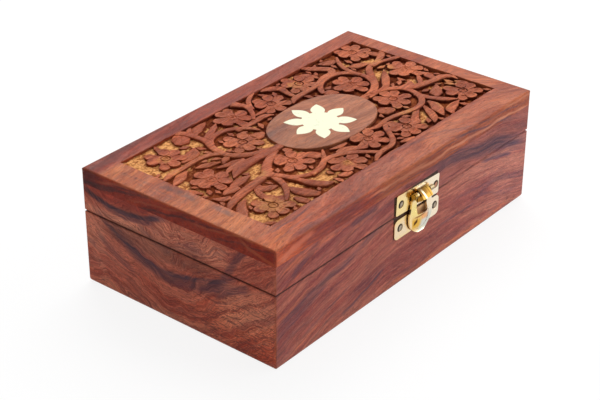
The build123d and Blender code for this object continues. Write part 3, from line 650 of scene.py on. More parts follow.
# the plate and strap tints of both brasses are painted reflections, highlights and shade; the spot under
# the hasp is a matt painted reflection
gold_plate = plated("gold_plate", painted_light_marks=[
    ((0.80, 0.50, 0.09), [(-2.5, 46, 0, 0, 4.5, 5, 0.8)]),
    ((0.82, 0.66, 0.46), [(-10, 31, 0, 0, 6, 6, 0.8)]),
    ((0.88, 0.70, 0.32), [(-10, 44, 0, 0, 6, 6, 0.8)])], strap_painted_light=[
    ((0.40, 0.23, 0.045), [(44, 5.5, 0, 0, 12, 14, 1)]),
    ((0.13, 0.055, 0.008), [(48.4, 2.5, 0, 0, 6, 3.8, 0.9)]),
    ((0.36, 0.20, 0.04), [(45.5, -4, 0, 0, 6, 5, 1)]),
    ((0.80, 0.70, 0.48), [(43, 3.5, -0.2, 0, 0.9, 5, 0.9)]),
    ((0.16, 0.07, 0.01), [(43, 7.2, -0.1, 0, 0.5, 7, 0.8)])], reflection_spot=(5, 33), heads=NAIL_HEADS)
gold_hasp = plated("gold_hasp", painted_light_marks=[
    ((0.86, 0.68, 0.24), [(-1, 38, 0, 0, 6, 4, 0.9)]), ((0.74, 0.42, 0.06), [(0.2, 30.4, 0, 0, 5.6, 4, 1)]),
    ((0.10, 0.035, 0.006), [(-0.9, 31.4, 1, 0, 1.7, 1.1, 1)]),
    ((0.62, 0.63, 0.55), [(7.8, 28.6, 0, 0, 6.5, 7, 0.9)]),
    ((0.78, 0.36, 0.13), [(5.4, 32.9, -0.2, 0, 2.3, 3.6, 0.95)]),
    ((0.30, 0.12, 0.03), [(3.5, 34.4, 0.1, 0, 0.6, 6, 0.9)])], strap_painted_light=[
    ((0.26, 0.15, 0.03), [(46, -3, 0, 0, 4, 3.4, 1)]), ((0.34, 0.26, 0.15), [(46, 11.5, 0, 0, 5, 3.4, 1)])])
nail_steel = nail_finish(NAIL_HEADS)
velvet = nap()

finish = {"inlay": bone, "velvet": velvet, "brass": gold_plate, "steel": nail_steel}
for name, node in nodes.items():
    node.data.materials.clear()
    if slots[name] == "rosewood":
        across = name.endswith(("left_wall", "right_wall"))
        node.data.materials.append(wood_across if across else wood_along)
    else:
        node.data.materials.append(gold_hasp if name == "catch_hasp" else finish[slots[name]])


# ------------------------------------------------------------------ hand tools
def pick(piece):
    """Makes a piece the only selected and the active one."""
    bpy.ops.object.select_all(action="DESELECT")
    piece.select_set(True)
    bpy.context.view_layer.objects.active = piece
    return piece


def added(name):
    """The piece that was just added, with its name."""
    piece = bpy.context.object
    piece.name = name
    return placed(piece)


def placed(piece):
    """Puts a piece's place, turn and size into its mesh."""
    pick(piece)
    bpy.ops.object.transform_apply(location=True, rotation=True, scale=True)
    return piece


@contextmanager
def editing(piece):
    """Edit mode on one piece, with all of it selected."""
    pick(piece)
    bpy.ops.object.mode_set(mode="EDIT")
    bpy.ops.mesh.select_all(action="SELECT")
    yield
    bpy.ops.object.mode_set(mode="OBJECT")


def pulled(height):
    """Extrudes what is selected by a height in millimetres."""
    bpy.ops.mesh.extrude_region_move(TRANSFORM_OT_translate={"value": (0, 0, height * MM)})


def inset(thickness, depth):
    """Insets the selected faces and raises them by a depth."""
    bpy.ops.mesh.inset(thickness=thickness * MM, depth=depth * MM)


def softened(offset, segments):
    """Bevels the selected edges."""
    bpy.ops.mesh.bevel(offset=offset * MM, segments=segments, affect="EDGES")


def roughened(offset, uniform, seed):
    """Pushes each selected corner a little way in a direction of its own."""
    bpy.ops.transform.vertex_random(offset=offset * MM, uniform=uniform, normal=0, seed=seed)


def choose(piece, kind, test):
    """Selects, in edit mode, only the faces or edges whose middle passes a test."""
    bpy.ops.mesh.select_mode(type=kind)
    bpy.ops.mesh.select_all(action="DESELECT")
    shape = bmesh.from_edit_mesh(piece.data)
    for part in (shape.faces if kind == "FACE" else shape.edges):
        middle = sum((v.co for v in part.verts), Vector()) / len(part.verts)
        if test(part, middle / MM):
            part.select_set(True)
    shape.select_flush_mode()
    bmesh.update_edit_mesh(piece.data)


def modified(piece, kind, **settings):
    """Adds a modifier with these settings, and applies it."""
    pick(piece)
    tool = piece.modifiers.new(kind.lower(), kind)
    for name, value in settings.items():
        setattr(tool, name, value)
    bpy.ops.object.modifier_apply(modifier=tool.name)
    return piece


def copied(piece, name):
    """A copy with its own mesh."""
    twin = piece.copy()
    twin.data = piece.data.copy()
    twin.name = name
    bpy.context.scene.collection.objects.link(twin)
    return twin


def moved(piece, place=(0, 0, 0), turn=0.0, size=(1, 1, 1)):
    """Sizes a piece about the origin, turns it about Z and carries it to a place in millimetres."""
    matrix = (Matrix.Translation(Vector(place) * MM) @ Matrix.Rotation(turn, 4, "Z")
              @ Matrix.Diagonal((*size, 1)))
    piece.data.transform(matrix)
    return piece


def joined(pieces, name):
    """Makes one piece of several."""
    bpy.ops.object.select_all(action="DESELECT")
    for piece in pieces:
        piece.select_set(True)
    bpy.context.view_layer.objects.active = pieces[0]
    bpy.ops.object.join()
    pieces[0].name = name
    return pieces[0]


def outward(piece):
    """Merges doubled corners and turns every face outwards."""
    with editing(piece):
        bpy.ops.mesh.remove_doubles(threshold=0.005 * MM)
        bpy.ops.mesh.normals_make_consistent(inside=False)
    return piece


# ------------------------------------------------------------------ top board
SINK = 2.4              # depth of the carved ground
GROUND = surface - SINK
FIELD = (-85.0, -42.5, 90.0, 47.5)      # its left, front, right and back
MEDALLION = (7.4, 2.2)  # its middle
BOARD = (200, 116)      # its length and depth
INNER = (91, 49)        # a reach that holds the field, with margin round it
OUTER = (99, 57)        # a reach just inside the board's outer faces


def within(at):
    """Whether a place is inside the inner reach, both ways."""
    return abs(at.x) < INNER[0] and abs(at.y) < INNER[1]


def beyond(at):
    """Whether a place is past the outer reach, lengthwise and across."""
    return abs(at.x) > OUTER[0], abs(at.y) > OUTER[1]


def on_top(at):
    """Whether a place is level with the board's face."""
    return abs(at.z - surface) < 0.01


def plain_board():
    """The board with its sunk field, whose floor is left uneven by the gouge."""
    middle = (board_low + board_high) / 2
    size = board_high - board_low
    bpy.ops.mesh.primitive_cube_add(size=1, location=middle, scale=size)
    board = added("carved_top_board")
    board.data.materials.append(board_wood)
    board.data.materials.append(gilded_ground)
    margin = 12.5
    wide, deep = FIELD[2] - FIELD[0], FIELD[3] - FIELD[1]
    fit = wide / (BOARD[0] - 2 * margin), deep / (BOARD[1] - 2 * margin), 1
    shift = [(FIELD[axis] + FIELD[axis + 2]) / 2 * MM for axis in (0, 1)]
    with editing(board):
        choose(board, "FACE", lambda face, at: face.normal.z > 0.9)
        inset(margin, 0)
        bpy.ops.transform.resize(value=fit, center_override=middle)
        bpy.ops.transform.translate(value=(*shift, 0))
        pulled(-SINK)
        choose(board, "EDGE", lambda edge, at: on_top(at) and within(at))
        bpy.ops.mesh.subdivide(number_cuts=70)
        roughened(0.3, 0.2, 8)
        bpy.ops.transform.resize(value=(1, 1, 0), center_override=(0, 0, top))
        choose(board, "EDGE", lambda edge, at: on_top(at) and any(beyond(at)))
        softened(0.9, 3)
        choose(board, "EDGE", lambda edge, at: all(beyond(at)) and at.z < surface - 1)
        softened(0.6, 2)
        choose(board, "EDGE", lambda edge, at: on_top(at) and within(at))
        softened(0.3, 2)
        choose(board, "FACE", lambda face, at: abs(at.z - GROUND) < 0.01 and face.normal.z > 0.9)
        board.active_material_index = 1
        bpy.ops.object.material_slot_assign()
        bpy.ops.mesh.subdivide(number_cuts=130)
        roughened(0.45, 0.3, 4)
    return board


def medallion():
    """The island in the middle: a fat oval with a softened rim and a pocket for the inlay."""
    bpy.ops.curve.primitive_bezier_circle_add(radius=1)
    oval = bpy.context.object
    for point in oval.data.splines[0].bezier_points:
        point.handle_left_type = point.handle_right_type = "FREE"
        point.handle_left = point.co + (point.handle_left - point.co) * 1.13
        point.handle_right = point.co + (point.handle_right - point.co) * 1.13
    oval.data.dimensions = "2D"
    oval.data.fill_mode = "BOTH"
    oval.data.resolution_u = 32
    bpy.ops.object.convert(target="MESH")
    oval = bpy.context.object
    moved(oval, size=(32.2 * MM, 21.25 * MM, 1))
    moved(oval, (*MEDALLION, GROUND - 1))
    with editing(oval):
        bpy.ops.mesh.remove_doubles(threshold=0.01 * MM)
        pulled(SINK + 1)
        choose(oval, "EDGE", lambda edge, at: at.z > surface - 0.01 and edge.calc_face_angle(0) > 0.5)
        softened(0.35, 3)
    outward(oval)
    pocket = outward(copied(nodes["flower_inlay"], "pocket"))
    pocket.parent = None
    moved(pocket, (0, 0, 0.2))
    modified(oval, "BOOLEAN", operation="DIFFERENCE", object=pocket, solver="EXACT")
    bpy.data.objects.remove(pocket)
    oval.data.materials.clear()
    oval.data.materials.append(oval_wood)
    return oval


def flower(stretches, ring):
    """One carved flower at the origin: seven square-ended petals, none quite alike, and a ringed heart."""
    bpy.ops.mesh.primitive_circle_add(vertices=20, radius=1, fill_type="NGON")
    petal = added("petal")
    moved(petal, (6.4, 0, -SINK - 0.4), size=(3.7 * MM, 2.5 * MM, 1))
    with editing(petal):
        choose(petal, "EDGE", lambda edge, at: at.x > 7.4)
        bpy.ops.transform.resize(value=(1, 1.2, 1), center_override=(0, 0, 0))
        bpy.ops.mesh.select_all(action="SELECT")
        pulled(SINK + 0.2)
        choose(petal, "EDGE", lambda edge, at: at.z > -0.21 and edge.calc_face_angle(0) > 0.5)
        softened(0.16, 1)
        choose(petal, "FACE", lambda face, at: face.normal.z > 0.95 and at.z > -0.3)
        inset(0.75, -0.05)
        inset(0.7, -0.16)
    outward(petal)
    petals = []
    for n, stretch in enumerate(stretches):
        turn = n * math.tau / 7 + (stretch - 1) * 1.3
        size = (stretch, 2 - stretch, 1)
        petals.append(moved(copied(petal, "petal"), (0, 0, (1 - stretch) * 3), turn, size))
    bpy.data.objects.remove(petal)
    bpy.ops.mesh.primitive_circle_add(vertices=24, radius=5.3 * MM, fill_type="NGON")
    heart = added("heart")
    moved(heart, (0, 0, -SINK - 0.4))
    with editing(heart):
        pulled(SINK - 0.05)
        choose(heart, "FACE", lambda face, at: face.normal.z > 0.95)
        for thickness, depth in (
                (2.7, 0.3), (0.25, -ring), (0.2, 0), (0.25, ring - 0.05), (0.7, 0.1), (0.3, -0.25)):
            inset(thickness, depth)
    outward(heart)
    return joined(petals + [heart], "flower")


# half-width and height of points across a ribbon 1 mm wide
VINE_SECTION = [(-0.49, -0.07), (-0.43, 0), (-0.13, 0.02), (0.13, 0.02), (0.43, 0), (0.49, -0.07)]
LEAF_SECTION = [(-0.6, -0.08), (-0.54, -0.02), (-0.12, 0.01), (0, -0.03), (0.12, 0.01), (0.54, -0.02),
                (0.6, -0.08)]


def ribbon(run, section, name, sunk=0.0):
    """A carved ribbon through (x, y, width) places, crowned across and rooted in the ground."""
    outline = bpy.data.curves.new("section", "CURVE")
    outline.dimensions = "2D"
    edge = outline.splines.new("POLY")
    edge.points.add(len(section) - 1)
    for point, (x, y) in zip(edge.points, section):
        point.co = (x * MM, y * MM, 0, 1)
    stencil = bpy.data.objects.new("section", outline)
    bpy.context.scene.collection.objects.link(stencil)
    path = bpy.data.curves.new(name, "CURVE")
    path.dimensions = "3D"
    path.twist_mode = "Z_UP"
    path.bevel_mode = "OBJECT"
    path.bevel_object = stencil
    path.resolution_u = 6
    line = path.splines.new("BEZIER")
    line.bezier_points.add(len(run) - 1)
    for point, (x, y, width) in zip(line.bezier_points, run):
        point.co = Vector((x, y, surface - sunk)) * MM
        point.radius = width
        point.handle_left_type = point.handle_right_type = "AUTO"
    piece = bpy.data.objects.new(name, path)
    bpy.context.scene.collection.objects.link(piece)
    pick(piece)
    bpy.ops.object.convert(target="MESH")
    piece = bpy.context.object
    bpy.data.objects.remove(stencil)
    with editing(piece):
        pulled(-(SINK + 0.5))
    return outward(piece)


# flowers: place and turn in degrees
FLOWERS = [
    (-69, 34.3, 9), (-18.1, 38, 2), (6, 33.4, 8), (-33.5, 17.8, -2), (-70.4, 4.7, -5),
    (-33.1, -12.2, -2), (-70, -31.6, 9), (-17.9, -32.5, 20), (6.5, -26.2, -10), (28.8, -32.8, 1),
    (48.1, 16.5, 10), (48.8, -9.7, 25), (78.5, -31.6, 2), (80.6, 5.9, 12), (79.4, 39, 21),
    (32.5, 37.2, -5)]

# vines: (x, y, width) along each
VINES = [
    [(-22, 2, 4.6), (-33, 1.5, 4.4), (-42, 2.3, 5), (-49, 2.6, 6.4), (-53.5, 2, 6.6), (-58, 0.4, 4.4),
     (-63, -2.4, 0.5)],
    [(-46, 4.4, 3), (-52, 5, 4.6), (-57.5, 4.6, 3.4), (-62.4, 3.2, 0.5)],
    [(-27, 1.5, 2.6), (-36, -1.8, 4.2), (-44, -6, 5), (-50, -11, 5.4), (-52, -14, 3)],
    [(-45, -9, 3.5), (-54, -11.5, 4.8), (-63, -12.8, 4.8), (-72, -14, 4.8), (-80, -16.3, 4),
     (-85.5, -19, 2)],
    [(-48.5, -10, 4.5), (-50.5, -18, 4), (-53.5, -24.5, 3.2), (-58, -29.5, 2.8), (-63.5, -33.5, 1.4)],
    [(-49, -14, 4), (-46.5, -20, 3.6), (-45, -26, 3), (-43.5, -32, 5.6), (-40.5, -37, 5.2),
     (-36.3, -39.7, 0.6)],
    [(-28, 2.5, 2.8), (-37, 5, 4), (-43.5, 9, 4.4), (-47.5, 14, 4.4), (-48, 20, 4.2), (-46.5, 26, 4),
     (-44.4, 31, 3.8), (-44.1, 38, 3.4), (-45.3, 44, 3.8), (-47, 48, 5)],
    [(-48.5, 18, 3.5), (-54, 21.4, 3), (-61, 22.6, 2.8), (-70, 22.2, 2.8), (-77, 22.2, 4),
     (-82, 21.3, 3), (-85.5, 20, 0.5)],
    [(-45, 27, 3), (-42, 30.5, 3.2), (-36, 32.6, 3.2), (-29, 31.5, 3.2), (-23.5, 27.5, 3.2),
     (-20, 22.5, 2.4), (-19, 19.5, 1.2)],
    [(-27, 27.5, 2.6), (-20, 27, 3), (-12, 27.4, 3.6), (-6, 27.2, 4), (-2.3, 24.6, 0.8)],
    [(-13, 28.5, 1.6), (-9.5, 32, 2.6), (-6.2, 36.5, 3), (-4.6, 41, 3.4), (-6, 45.5, 5), (-7, 48, 6.5)],
    [(-4.5, 36, 1.6), (-2.6, 40, 2.8), (0.5, 43.6, 2.8), (4.5, 46, 2.6), (9, 48, 2)],
    [(12.8, 25, 0.8), (17.5, 27.8, 4), (25, 28.4, 3.6), (33, 28.4, 3), (40, 30.2, 3), (46, 32.2, 3),
     (52, 31.8, 3.2)],
    [(44, 2.6, 2.6), (52, 5, 3), (57.6, 9.3, 3.2), (60.4, 15, 3.4), (60.3, 21, 3.6), (57.5, 26.6, 3.6),
     (52, 30, 3.6), (45, 30.2, 3.4), (38, 27.7, 3.2), (33.6, 23.8, 3.4), (31.2, 20.3, 2.4)],
    [(37, 2, 5), (46, 2.4, 4.4), (54, 5.4, 4.2), (60, 10.6, 4), (65, 16.6, 4.4), (71, 21.4, 3.6),
     (79, 22.7, 3), (86, 25.3, 4.5), (91, 28.5, 3)],
    [(72, 20.8, 2.2), (80, 20.4, 2.4), (85.5, 18.8, 3.2), (91, 17, 3)],
    [(46, 1.6, 3), (56, 0.6, 3.6), (62, 4.4, 4.6), (66.5, 8, 4.6), (70, 11.2, 2.4), (72.5, 13.6, 0.5)],
    [(42, 0.5, 3.4), (51, 0.6, 3), (57, -2, 3.6), (62, -6, 4.6), (66, -9.4, 5), (72, -11.6, 4.2),
     (79, -13.2, 4), (85, -14, 5), (88.6, -17.5, 3.2), (88, -21.8, 0.8)],
    [(57, -2, 2.6), (60.8, -6, 3), (62, -11, 3.4), (60.5, -17, 3.8), (56.5, -22, 3.6), (50, -24.6, 3.4),
     (43, -23.9, 3), (35, -21.8, 3), (27, -21, 2.8), (19, -21.9, 3), (14.6, -20, 1.6), (13, -17.5, 0.8)],
    [(60.5, -15, 4), (61.4, -22, 3.6), (63.5, -27, 4), (66, -31, 4.2), (69.3, -34.6, 0.8)],
    [(60, 19, 3), (60.3, 27, 3.2), (62, 32.4, 2.8), (65, 37.2, 2.6), (69, 41.6, 1)],
    [(26, -22.2, 2), (21.5, -25.5, 3), (17.8, -30.5, 3), (13.8, -35.4, 3), (8.8, -38.2, 3),
     (2.5, -38.4, 3), (-3.5, -39.6, 3), (-9, -42.5, 1.5)],
    [(-38, -27.5, 2.4), (-30, -26, 3), (-22, -23.4, 3.2), (-15, -24.8, 3.4), (-9, -28.6, 3.4),
     (-4, -33.6, 3.2), (-0.6, -38, 2.8)],
    [(-45.5, -21, 3), (-41.5, -24.6, 3), (-35.5, -26.8, 3.2), (-28.5, -25.9, 3), (-22, -22.2, 2.8),
     (-18, -18.5, 2), (-15.6, -16, 0.8)]]

# leaves and buds: (x, y, width) from the stem to the tip
LEAVES = [
    [(-46, 5.4, 3), (-51, 7.4, 3.4), (-56, 8.6, 2.6), (-61, 10.4, 0.4)],
    [(-44, 47, 3), (-48.5, 43.5, 7.5), (-52, 41, 7.5), (-55.4, 39.4, 2)],
    [(-52.8, -26.5, 1.2), (-52.8, -31, 5), (-51, -36, 6), (-48.5, -41, 3)],
    [(-58.5, -34, 1), (-58, -37.4, 4), (-56.8, -41.5, 3)],
    [(-61, -13.5, 3), (-61.6, -17.4, 4.6), (-57.5, -20.4, 3.6), (-54.8, -21.4, 0.6)],
    [(-60.5, -14, 3), (-65, -19, 2.8), (-67, -25, 3.2)],
    [(-73.5, -18.6, 0.6), (-79, -21, 3.6), (-83, -25, 4.6), (-84.8, -29.5, 0.6)],
    [(-83, -7, 0.6), (-80.5, -10.5, 3.4), (-76.5, -12.4, 2)],
    [(-77, -8.5, 1), (-72, -8, 4.6), (-67.2, -8.8, 3)],
    [(-71, 19.2, 0.8), (-76.5, 17.6, 4.6), (-81.5, 15.6, 3.4), (-85, 14.4, 0.6)],
    [(-67, 26, 0.6), (-61.5, 27.4, 4.8), (-56, 28.8, 5.6), (-52.2, 31.8, 0.6)],
    [(-43.5, 39.5, 1.4), (-38.5, 43, 4.8), (-33, 44.6, 3.4), (-29.4, 45.2, 0.5)],
    [(-43.5, 33, 1.8), (-37, 35.6, 3.2), (-31, 38.2, 2.6), (-27.6, 40.2, 0.5)],
    [(-9.5, 31, 0.6), (-4, 31, 2.4), (1.5, 31.4, 1.6)],
    [(20, 30, 2.2), (20.8, 36, 2.8), (22, 41, 4), (18, 45, 4.2), (13, 46.5, 0.8)],
    [(31.3, 20.6, 2), (34.6, 19, 5.4), (37.4, 15.4, 1.4)],
    [(64, 30.2, 1), (67.6, 28.2, 4.6), (72, 26.4, 3.6), (76, 24.4, 1)],
    [(67.5, 39.6, 0.8), (62.5, 41, 4.8), (58.6, 43, 3), (56.6, 44.4, 0.4)],
    [(52, 31.5, 3), (55.4, 35, 4), (53, 39.6, 4), (49.2, 44.4, 3.8), (47, 48, 2)],
    [(73.2, 43.5, 1), (75, 48, 2)], [(83.8, 33.6, 1.6), (85.6, 29.8, 4.4), (86, 25.6, 3)],
    [(85.6, -21.6, 0.8), (87, -26, 3.8), (86.4, -30.6, 1.6)],
    [(83.8, -2.6, 0.6), (83.2, -7, 4.6), (81.2, -12, 2.4)],
    [(80.4, -2, 1), (76, -6.8, 2.6), (71, -10.6, 1.6)],
    [(60.4, -4, 2), (64.4, -6.4, 3.8), (68.4, -6, 3.4), (71, -3, 0.5)],
    [(76, -17, 0.6), (72, -20, 4.6), (68, -22.6, 5.8), (65.2, -25.2, 1.4)],
    [(58, -24.4, 1.2), (57.2, -29, 4.6), (54.6, -33, 5.6), (52, -37, 2.6), (50, -39.6, 0.5)],
    [(69, -35.8, 0.6), (63.4, -36.6, 3.8), (58.2, -38.2, 4.6), (55, -41.8, 1.4)],
    [(48.5, -24.6, 2.4), (42, -28.4, 3), (36, -32, 4), (31.8, -34.4, 0.8)],
    [(53, -25, 1), (49.6, -31.6, 3.6), (45.8, -36.8, 3.6), (41.4, -40.4, 0.6)],
    [(32.4, -12.8, 3), (35.6, -14.4, 6.6), (38.6, -16.4, 4.6), (40, -17.6, 1.6)],
    [(-14, -23, 1.6), (-9, -24, 4.4), (-4, -27.2, 3.6), (-1.8, -30.6, 0.8)],
    [(-30.6, -37, 1), (-27.6, -38.6, 3.6), (-23.4, -39.2, 2)],
    [(-26.4, 17, 5), (-22.4, 16.8, 5.4), (-19.6, 16.4, 1.6)],
    [(-28, -2.6, 2), (-26, -3, 4), (-24.2, -5, 1)],
    [(-25.4, -11.4, 1.5), (-22.6, -14.2, 5.4), (-20.6, -18, 5), (-20, -20.6, 1)],
    [(-55.8, 10.6, 0.6), (-51.5, 12.9, 3), (-48.6, 13.6, 2)],
    [(-67, 17.6, 0.6), (-62, 16, 3.6), (-57.4, 14, 2), (-55, 12.6, 0.5)],
    [(-56, -6, 0.8), (-61.5, -5.6, 4.4), (-67, -6.4, 3.6), (-71, -7, 1)],
    [(14, -39.8, 1), (18.5, -41, 3.2), (22.8, -41.8, 1)],
    [(-3, -42.4, 1), (3, -42.8, 2.4), (9, -42.4, 1)],
    [(39, 43.5, 0.6), (42.4, 41, 3.4), (44, 37, 2.6), (44, 33.6, 1)],
    [(-13.5, -18.6, 0.6), (-8, -20.4, 2.6), (-3, -20.6, 1)],
    [(-39, 46.5, 1), (-42, 44.6, 2.6), (-43.6, 41, 1)], [(-84.6, 26.6, 1), (-85.6, 23.6, 3)],
    [(-86, 9, 1), (-83.8, 4, 3), (-82, -1, 1)]]

# patches of gold paint on the ground: (x, y, radius)
GILT = [
    (-80, 41, 9), (-80, 31, 6), (-60, 40, 7), (-47, 36, 4), (-70, 27, 6), (-55, 23, 4), (-83, 11, 4),
    (-62, -1, 4), (-83, 2, 4), (-51, -4, 6), (-70, -19.5, 6), (-60, -26, 6), (-83, -33, 5),
    (-77, -39, 6), (-52, -28, 4), (-36, -31, 8), (-29, -36, 5), (-43, 12, 4), (-26, 8, 6), (-43, 21, 3),
    (-20, 29, 6), (-33, 36, 4), (-26, -9, 4), (68, 15, 7), (77, 27, 5), (45, -30, 6), (38, -35, 4),
    (36, 42, 5), (66, 34, 4), (73, -7, 5), (38, -3, 4), (30, -24, 5), (-57, -38, 4), (74, -18, 3)]


# places where the relief is rubbed with gold
RUBBED = [
    (75, 15, 7), (42, -22, 7), (82, -20, 7), (-70, -31, 9), (-70, 34, 5), (-52, -9, 5), (30, 38, 5),
    (-34, -32, 6), (60, -33, 5), (-76, 22, 4), (78, 24, 6), (-18, -33, 4)]


def level_ground(piece):
    """Leaves the ground shallower towards the left."""
    for corner in piece.data.vertices:
        place = corner.co.xy / MM
        if abs(corner.co.z / MM - GROUND) < 0.5 and within(place):
            corner.co.z += (0.85 - 0.3 * math.tanh((place.x + 10) / 30)) * MM


def share_of(place, patches):
    """How strongly the nearest of these patches covers a place."""
    return max(1 - max((place - Vector(patch[:2])).length / patch[2] - 0.5, 0) for patch in patches)


def found_near(pieces):
    """A finder for how far, in millimetres, a place on the ground is from the relief or a wall."""
    spots = [corner.co.xy / MM for piece in pieces for corner in piece.data.vertices]
    finder = kdtree.KDTree(len(spots))
    for number, spot in enumerate(spots):
        finder.insert((*spot, 0), number)
    finder.balance()

    def near(place):
        """How far this place is from the nearest of them."""
        wall = min(place.x - FIELD[0], FIELD[2] - place.x, place.y - FIELD[1], FIELD[3] - place.y)
        return min(finder.find((*place, 0))[2], max(wall, 0))
    return near


def small_leaves(near):
    """Small leaves low down in the bare places that the vines leave."""
    chance = random.Random(5)
    made, taken = [], []
    for attempt in range(2600):
        place = Vector((chance.uniform(FIELD[0], FIELD[2]), chance.uniform(FIELD[1], FIELD[3])))
        room = near(place)
        crowded = any((place - other).length < 4.2 for other in taken)
        if room < 1.5 or share_of(place, GILT) > 0.75 or crowded:
            continue
        taken.append(place)
        turn = chance.uniform(0, math.tau)
        ahead = Vector((math.cos(turn), math.sin(turn))) * min(room * 1.1, 3)
        aside = Vector((-ahead.y, ahead.x)) * chance.uniform(-0.35, 0.35)
        width = min(room * 1.15, 2.6)
        run = [(*(place - ahead), 0.4), (*(place + aside), width), (*(place + ahead), 0.4)]
        made.append(ribbon(run, LEAF_SECTION, "small_leaf", chance.uniform(0.55, 0.85)))
    return made


def mark_carving(piece, near):
    """Stores on the board where it is gilt, rubbed or near the relief, and how steep each face is, for
    painted shade on the relief's walls.
    """
    layers = [piece.data.attributes.new(name, "FLOAT", "POINT").data for name in ("gilt", "rubbed", "near")]
    for number, corner in enumerate(piece.data.vertices):
        place = corner.co.xy / MM
        values = share_of(place, GILT), share_of(place, RUBBED), min(near(place), 4)
        for layer, value in zip(layers, values):
            layer[number].value = value
    # how steep each face is, read as painted shade on the relief's walls
    cuts = piece.data.attributes.new("wall_shade", "FLOAT", "FACE").data
    for face in piece.data.polygons:
        cuts[face.index].value = min(max((0.9 - face.normal.z) / 0.4, 0), 1)


board = plain_board()
level_ground(board)
island = medallion()
relief = []
blooms = [flower(stretches, ring) for stretches, ring in (
    ((1.0, 0.9, 1.04, 0.96, 1.07, 0.93, 1.02), 0.5), ((0.95, 1.06, 0.94, 1.0, 0.9, 1.07, 0.98), 0.22),
    ((1.06, 0.95, 1.0, 0.89, 1.04, 0.97, 1.07), 0.35))]
for number, (x, y, turn) in enumerate(FLOWERS):
    bloom = copied(blooms[number % 3], "flower")
    relief.append(moved(bloom, (x, y, surface - 0.1 * (number % 4)), math.radians(turn)))
for bloom in blooms:
    bpy.data.objects.remove(bloom)
for number, run in enumerate(VINES):
    relief.append(ribbon(run, VINE_SECTION, "vine", 0.12 + 0.05 * (number % 5)))
for number, run in enumerate(LEAVES):
    relief.append(ribbon(run, LEAF_SECTION, "leaf", 0.3 + 0.07 * (number % 6)))
relief += small_leaves(found_near(relief + [island]))
close = found_near(relief + [island])
for piece in relief:
    piece.data.materials.clear()
    piece.data.materials.append(carved_wood)
    rough = 0.1 if piece.name.startswith("flower") else 0.05
    with editing(piece):
        roughened(rough, 0.5, len(piece.data.vertices))
carved_board = joined([board, island] + relief, "carved_top_board")
mark_carving(carved_board, close)
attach(carved_board, "lid")
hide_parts("lid_top_board")


# ------------------------------------------------------------------ velvet lining
def gridded(piece, cell):
    """Cuts the long edges of a boxy piece so that no cell is longer than this."""
    size = piece.dimensions
    with editing(piece):
        for axis in range(3):
            cuts = int(size[axis] / cell) - 1
            if cuts > 0:
                def runs_along(edge, at):
                    along = (edge.verts[0].co - edge.verts[1].co).normalized()
                    return abs(along[axis]) > 0.99
                choose(piece, "EDGE", runs_along)
                bpy.ops.mesh.subdivide(number_cuts=cuts)
    return piece


def stuffed_pad(name, node, facing, body):
    """A thin velvet pad, glued down all over its back and blown up a little by its stuffing."""
    low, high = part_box(node)
    glued = low.z if facing > 0 else high.z
    middle = (low + high) / 2
    size = high - low - Vector((1.6, 1.6, 0)) * MM
    bpy.ops.mesh.primitive_cube_add(size=1, location=(middle.x, middle.y, glued + facing * 0.85 * MM),
                                    scale=(size.x, size.y, 1.7 * MM))
    pad = added(name)
    with editing(pad):
        choose(pad, "EDGE", lambda edge, at: abs(edge.verts[0].co.z - edge.verts[1].co.z) > 1 * MM)
        softened(3, 3)
    gridded(pad, 3.2 * MM)
    start = [corner.co.copy() for corner in pad.data.vertices]
    held = pad.vertex_groups.new(name="glued")
    held.add([n for n, place in enumerate(start) if abs(place.z - glued) < 0.2 * MM], 1, "REPLACE")
    cloth = pad.modifiers.new("stuffing", "CLOTH")
    cloth.settings.use_pressure = True
    cloth.settings.uniform_pressure_force = 4
    cloth.settings.effector_weights.gravity = 0
    cloth.settings.vertex_group_mass = "glued"
    cloth.settings.tension_stiffness = 8
    for frame_number in range(1, 21):
        bpy.context.scene.frame_set(frame_number)
    pick(pad)
    bpy.ops.object.modifier_apply(modifier="stuffing")
    bpy.context.scene.frame_set(1)
    most = 1.15 * MM
    for corner, place in zip(pad.data.vertices, start):
        push = corner.co - place
        if push.length > 0:
            corner.co = place + push * (most * math.tanh(push.length / most) / push.length)
    modified(pad, "SUBSURF", levels=1, render_levels=1)
    pick(pad)
    bpy.ops.object.shade_smooth()
    pad.data.materials.append(velvet)
    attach(pad, body)
    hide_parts(node)
    return pad


def lining_panel(side):
    """Card wrapped in velvet along one wall of the tray, its edges rolled over."""
    node = f"base_{side}_lining"
    low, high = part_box(node)
    bpy.ops.mesh.primitive_cube_add(size=1, location=(low + high) / 2, scale=high - low)
    panel = added(f"velvet_{side}_lining")
    gridded(panel, 6 * MM)
    thin = min(range(2), key=lambda axis: high[axis] - low[axis])
    inner = low[thin] if low[thin] > 0 else high[thin]

    def on_face(at):
        """Whether a place is on the side of the card that shows."""
        return abs(at[thin] * MM - inner) < 0.01 * MM

    with editing(panel):
        choose(panel, "EDGE", lambda edge, at: on_face(at) and edge.calc_face_angle(0) > 0.5)
        softened(0.45, 3)
        choose(panel, "FACE", lambda face, at: abs(face.normal[thin]) > 0.9 and on_face(at))
        roughened(0.07, 0.4, 3)
    bpy.ops.object.shade_smooth_by_angle(angle=math.radians(40))
    panel.data.materials.append(velvet)
    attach(panel, "base")
    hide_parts(node)
    return panel


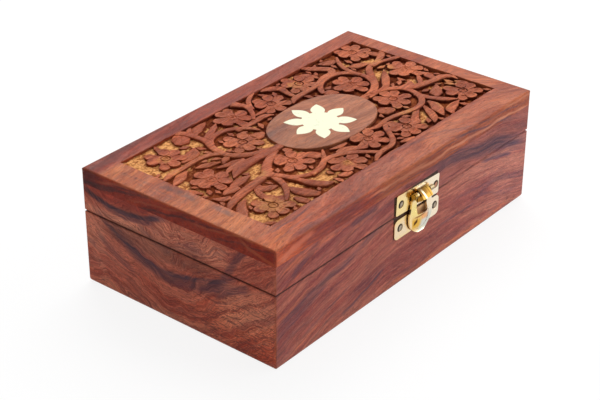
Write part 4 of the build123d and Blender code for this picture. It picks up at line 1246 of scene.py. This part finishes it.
stuffed_pad("velvet_floor_pad", "base_velvet_pad", 1, "base")
stuffed_pad("velvet_lid_pad", "lid_velvet_pad", -1, "lid")
for side in ("front", "right", "back", "left"):
    lining_panel(side)


# ------------------------------------------------------------------ stage
def seen_itself(tree):
    """1 where the camera looks at a thing, straight or in a reflection, and 0 where it only gives light."""
    path = put(tree, "LightPath").outputs
    seen = sums(tree, "MAXIMUM", path["Is Camera Ray"], path["Is Glossy Ray"], clamp=True)
    return sums(tree, "MAXIMUM", seen, path["Is Transmission Ray"])


def white_floor():
    """A pale floor that shows white but keeps the object's shadow."""
    bpy.ops.mesh.primitive_plane_add(size=6)
    floor = bpy.context.object
    floor.name = "floor"
    made, tree, shader = material("floor_white", (0.86, 0.86, 0.86), 0.9)[:3]
    shader.inputs["Specular IOR Level"].default_value = 0
    seen = seen_itself(tree)
    glow = put(tree, "Emission", (1, 1, 1, 1), times(tree, seen, 0.87))
    pale = put(tree, "BsdfDiffuse", (0.16, 0.16, 0.16, 1))
    lit = put(tree, "AddShader", glow.outputs[0], pale.outputs[0])
    choice = put(tree, "MixShader", seen, shader.outputs[0], lit.outputs[0])
    feed(tree, tree.nodes["Material Output"].inputs[0], choice.outputs[0])
    floor.data.materials.append(made)


def studio_world():
    """White to the camera and in reflections, a dimmer even light for the rest."""
    world = bpy.data.worlds.new("studio")
    bpy.context.scene.world = world
    world.use_nodes = True
    tree = world.node_tree
    background = tree.nodes["Background"]
    background.inputs["Color"].default_value = (1, 1, 1, 1)
    feed(tree, background.inputs["Strength"], between(tree, seen_itself(tree), 0, 1, 0.32, 1))


def lamp(name, place, size, energy):
    """A square area lamp that faces the object."""
    bpy.ops.object.light_add(type="AREA", location=place)
    one = bpy.context.object
    one.name = name
    one.data.size = size
    one.data.energy = energy
    one.rotation_euler = (-Vector(place)).to_track_quat("-Z", "Y").to_euler()


camera()
white_floor()
studio_world()
lamp("key", (0.6, 0.45, 1.0), 1.1, 13)
lamp("fill", (0.9, -1.0, 0.5), 1.2, 8.5)

bpy.context.scene.view_settings.view_transform = "Standard"
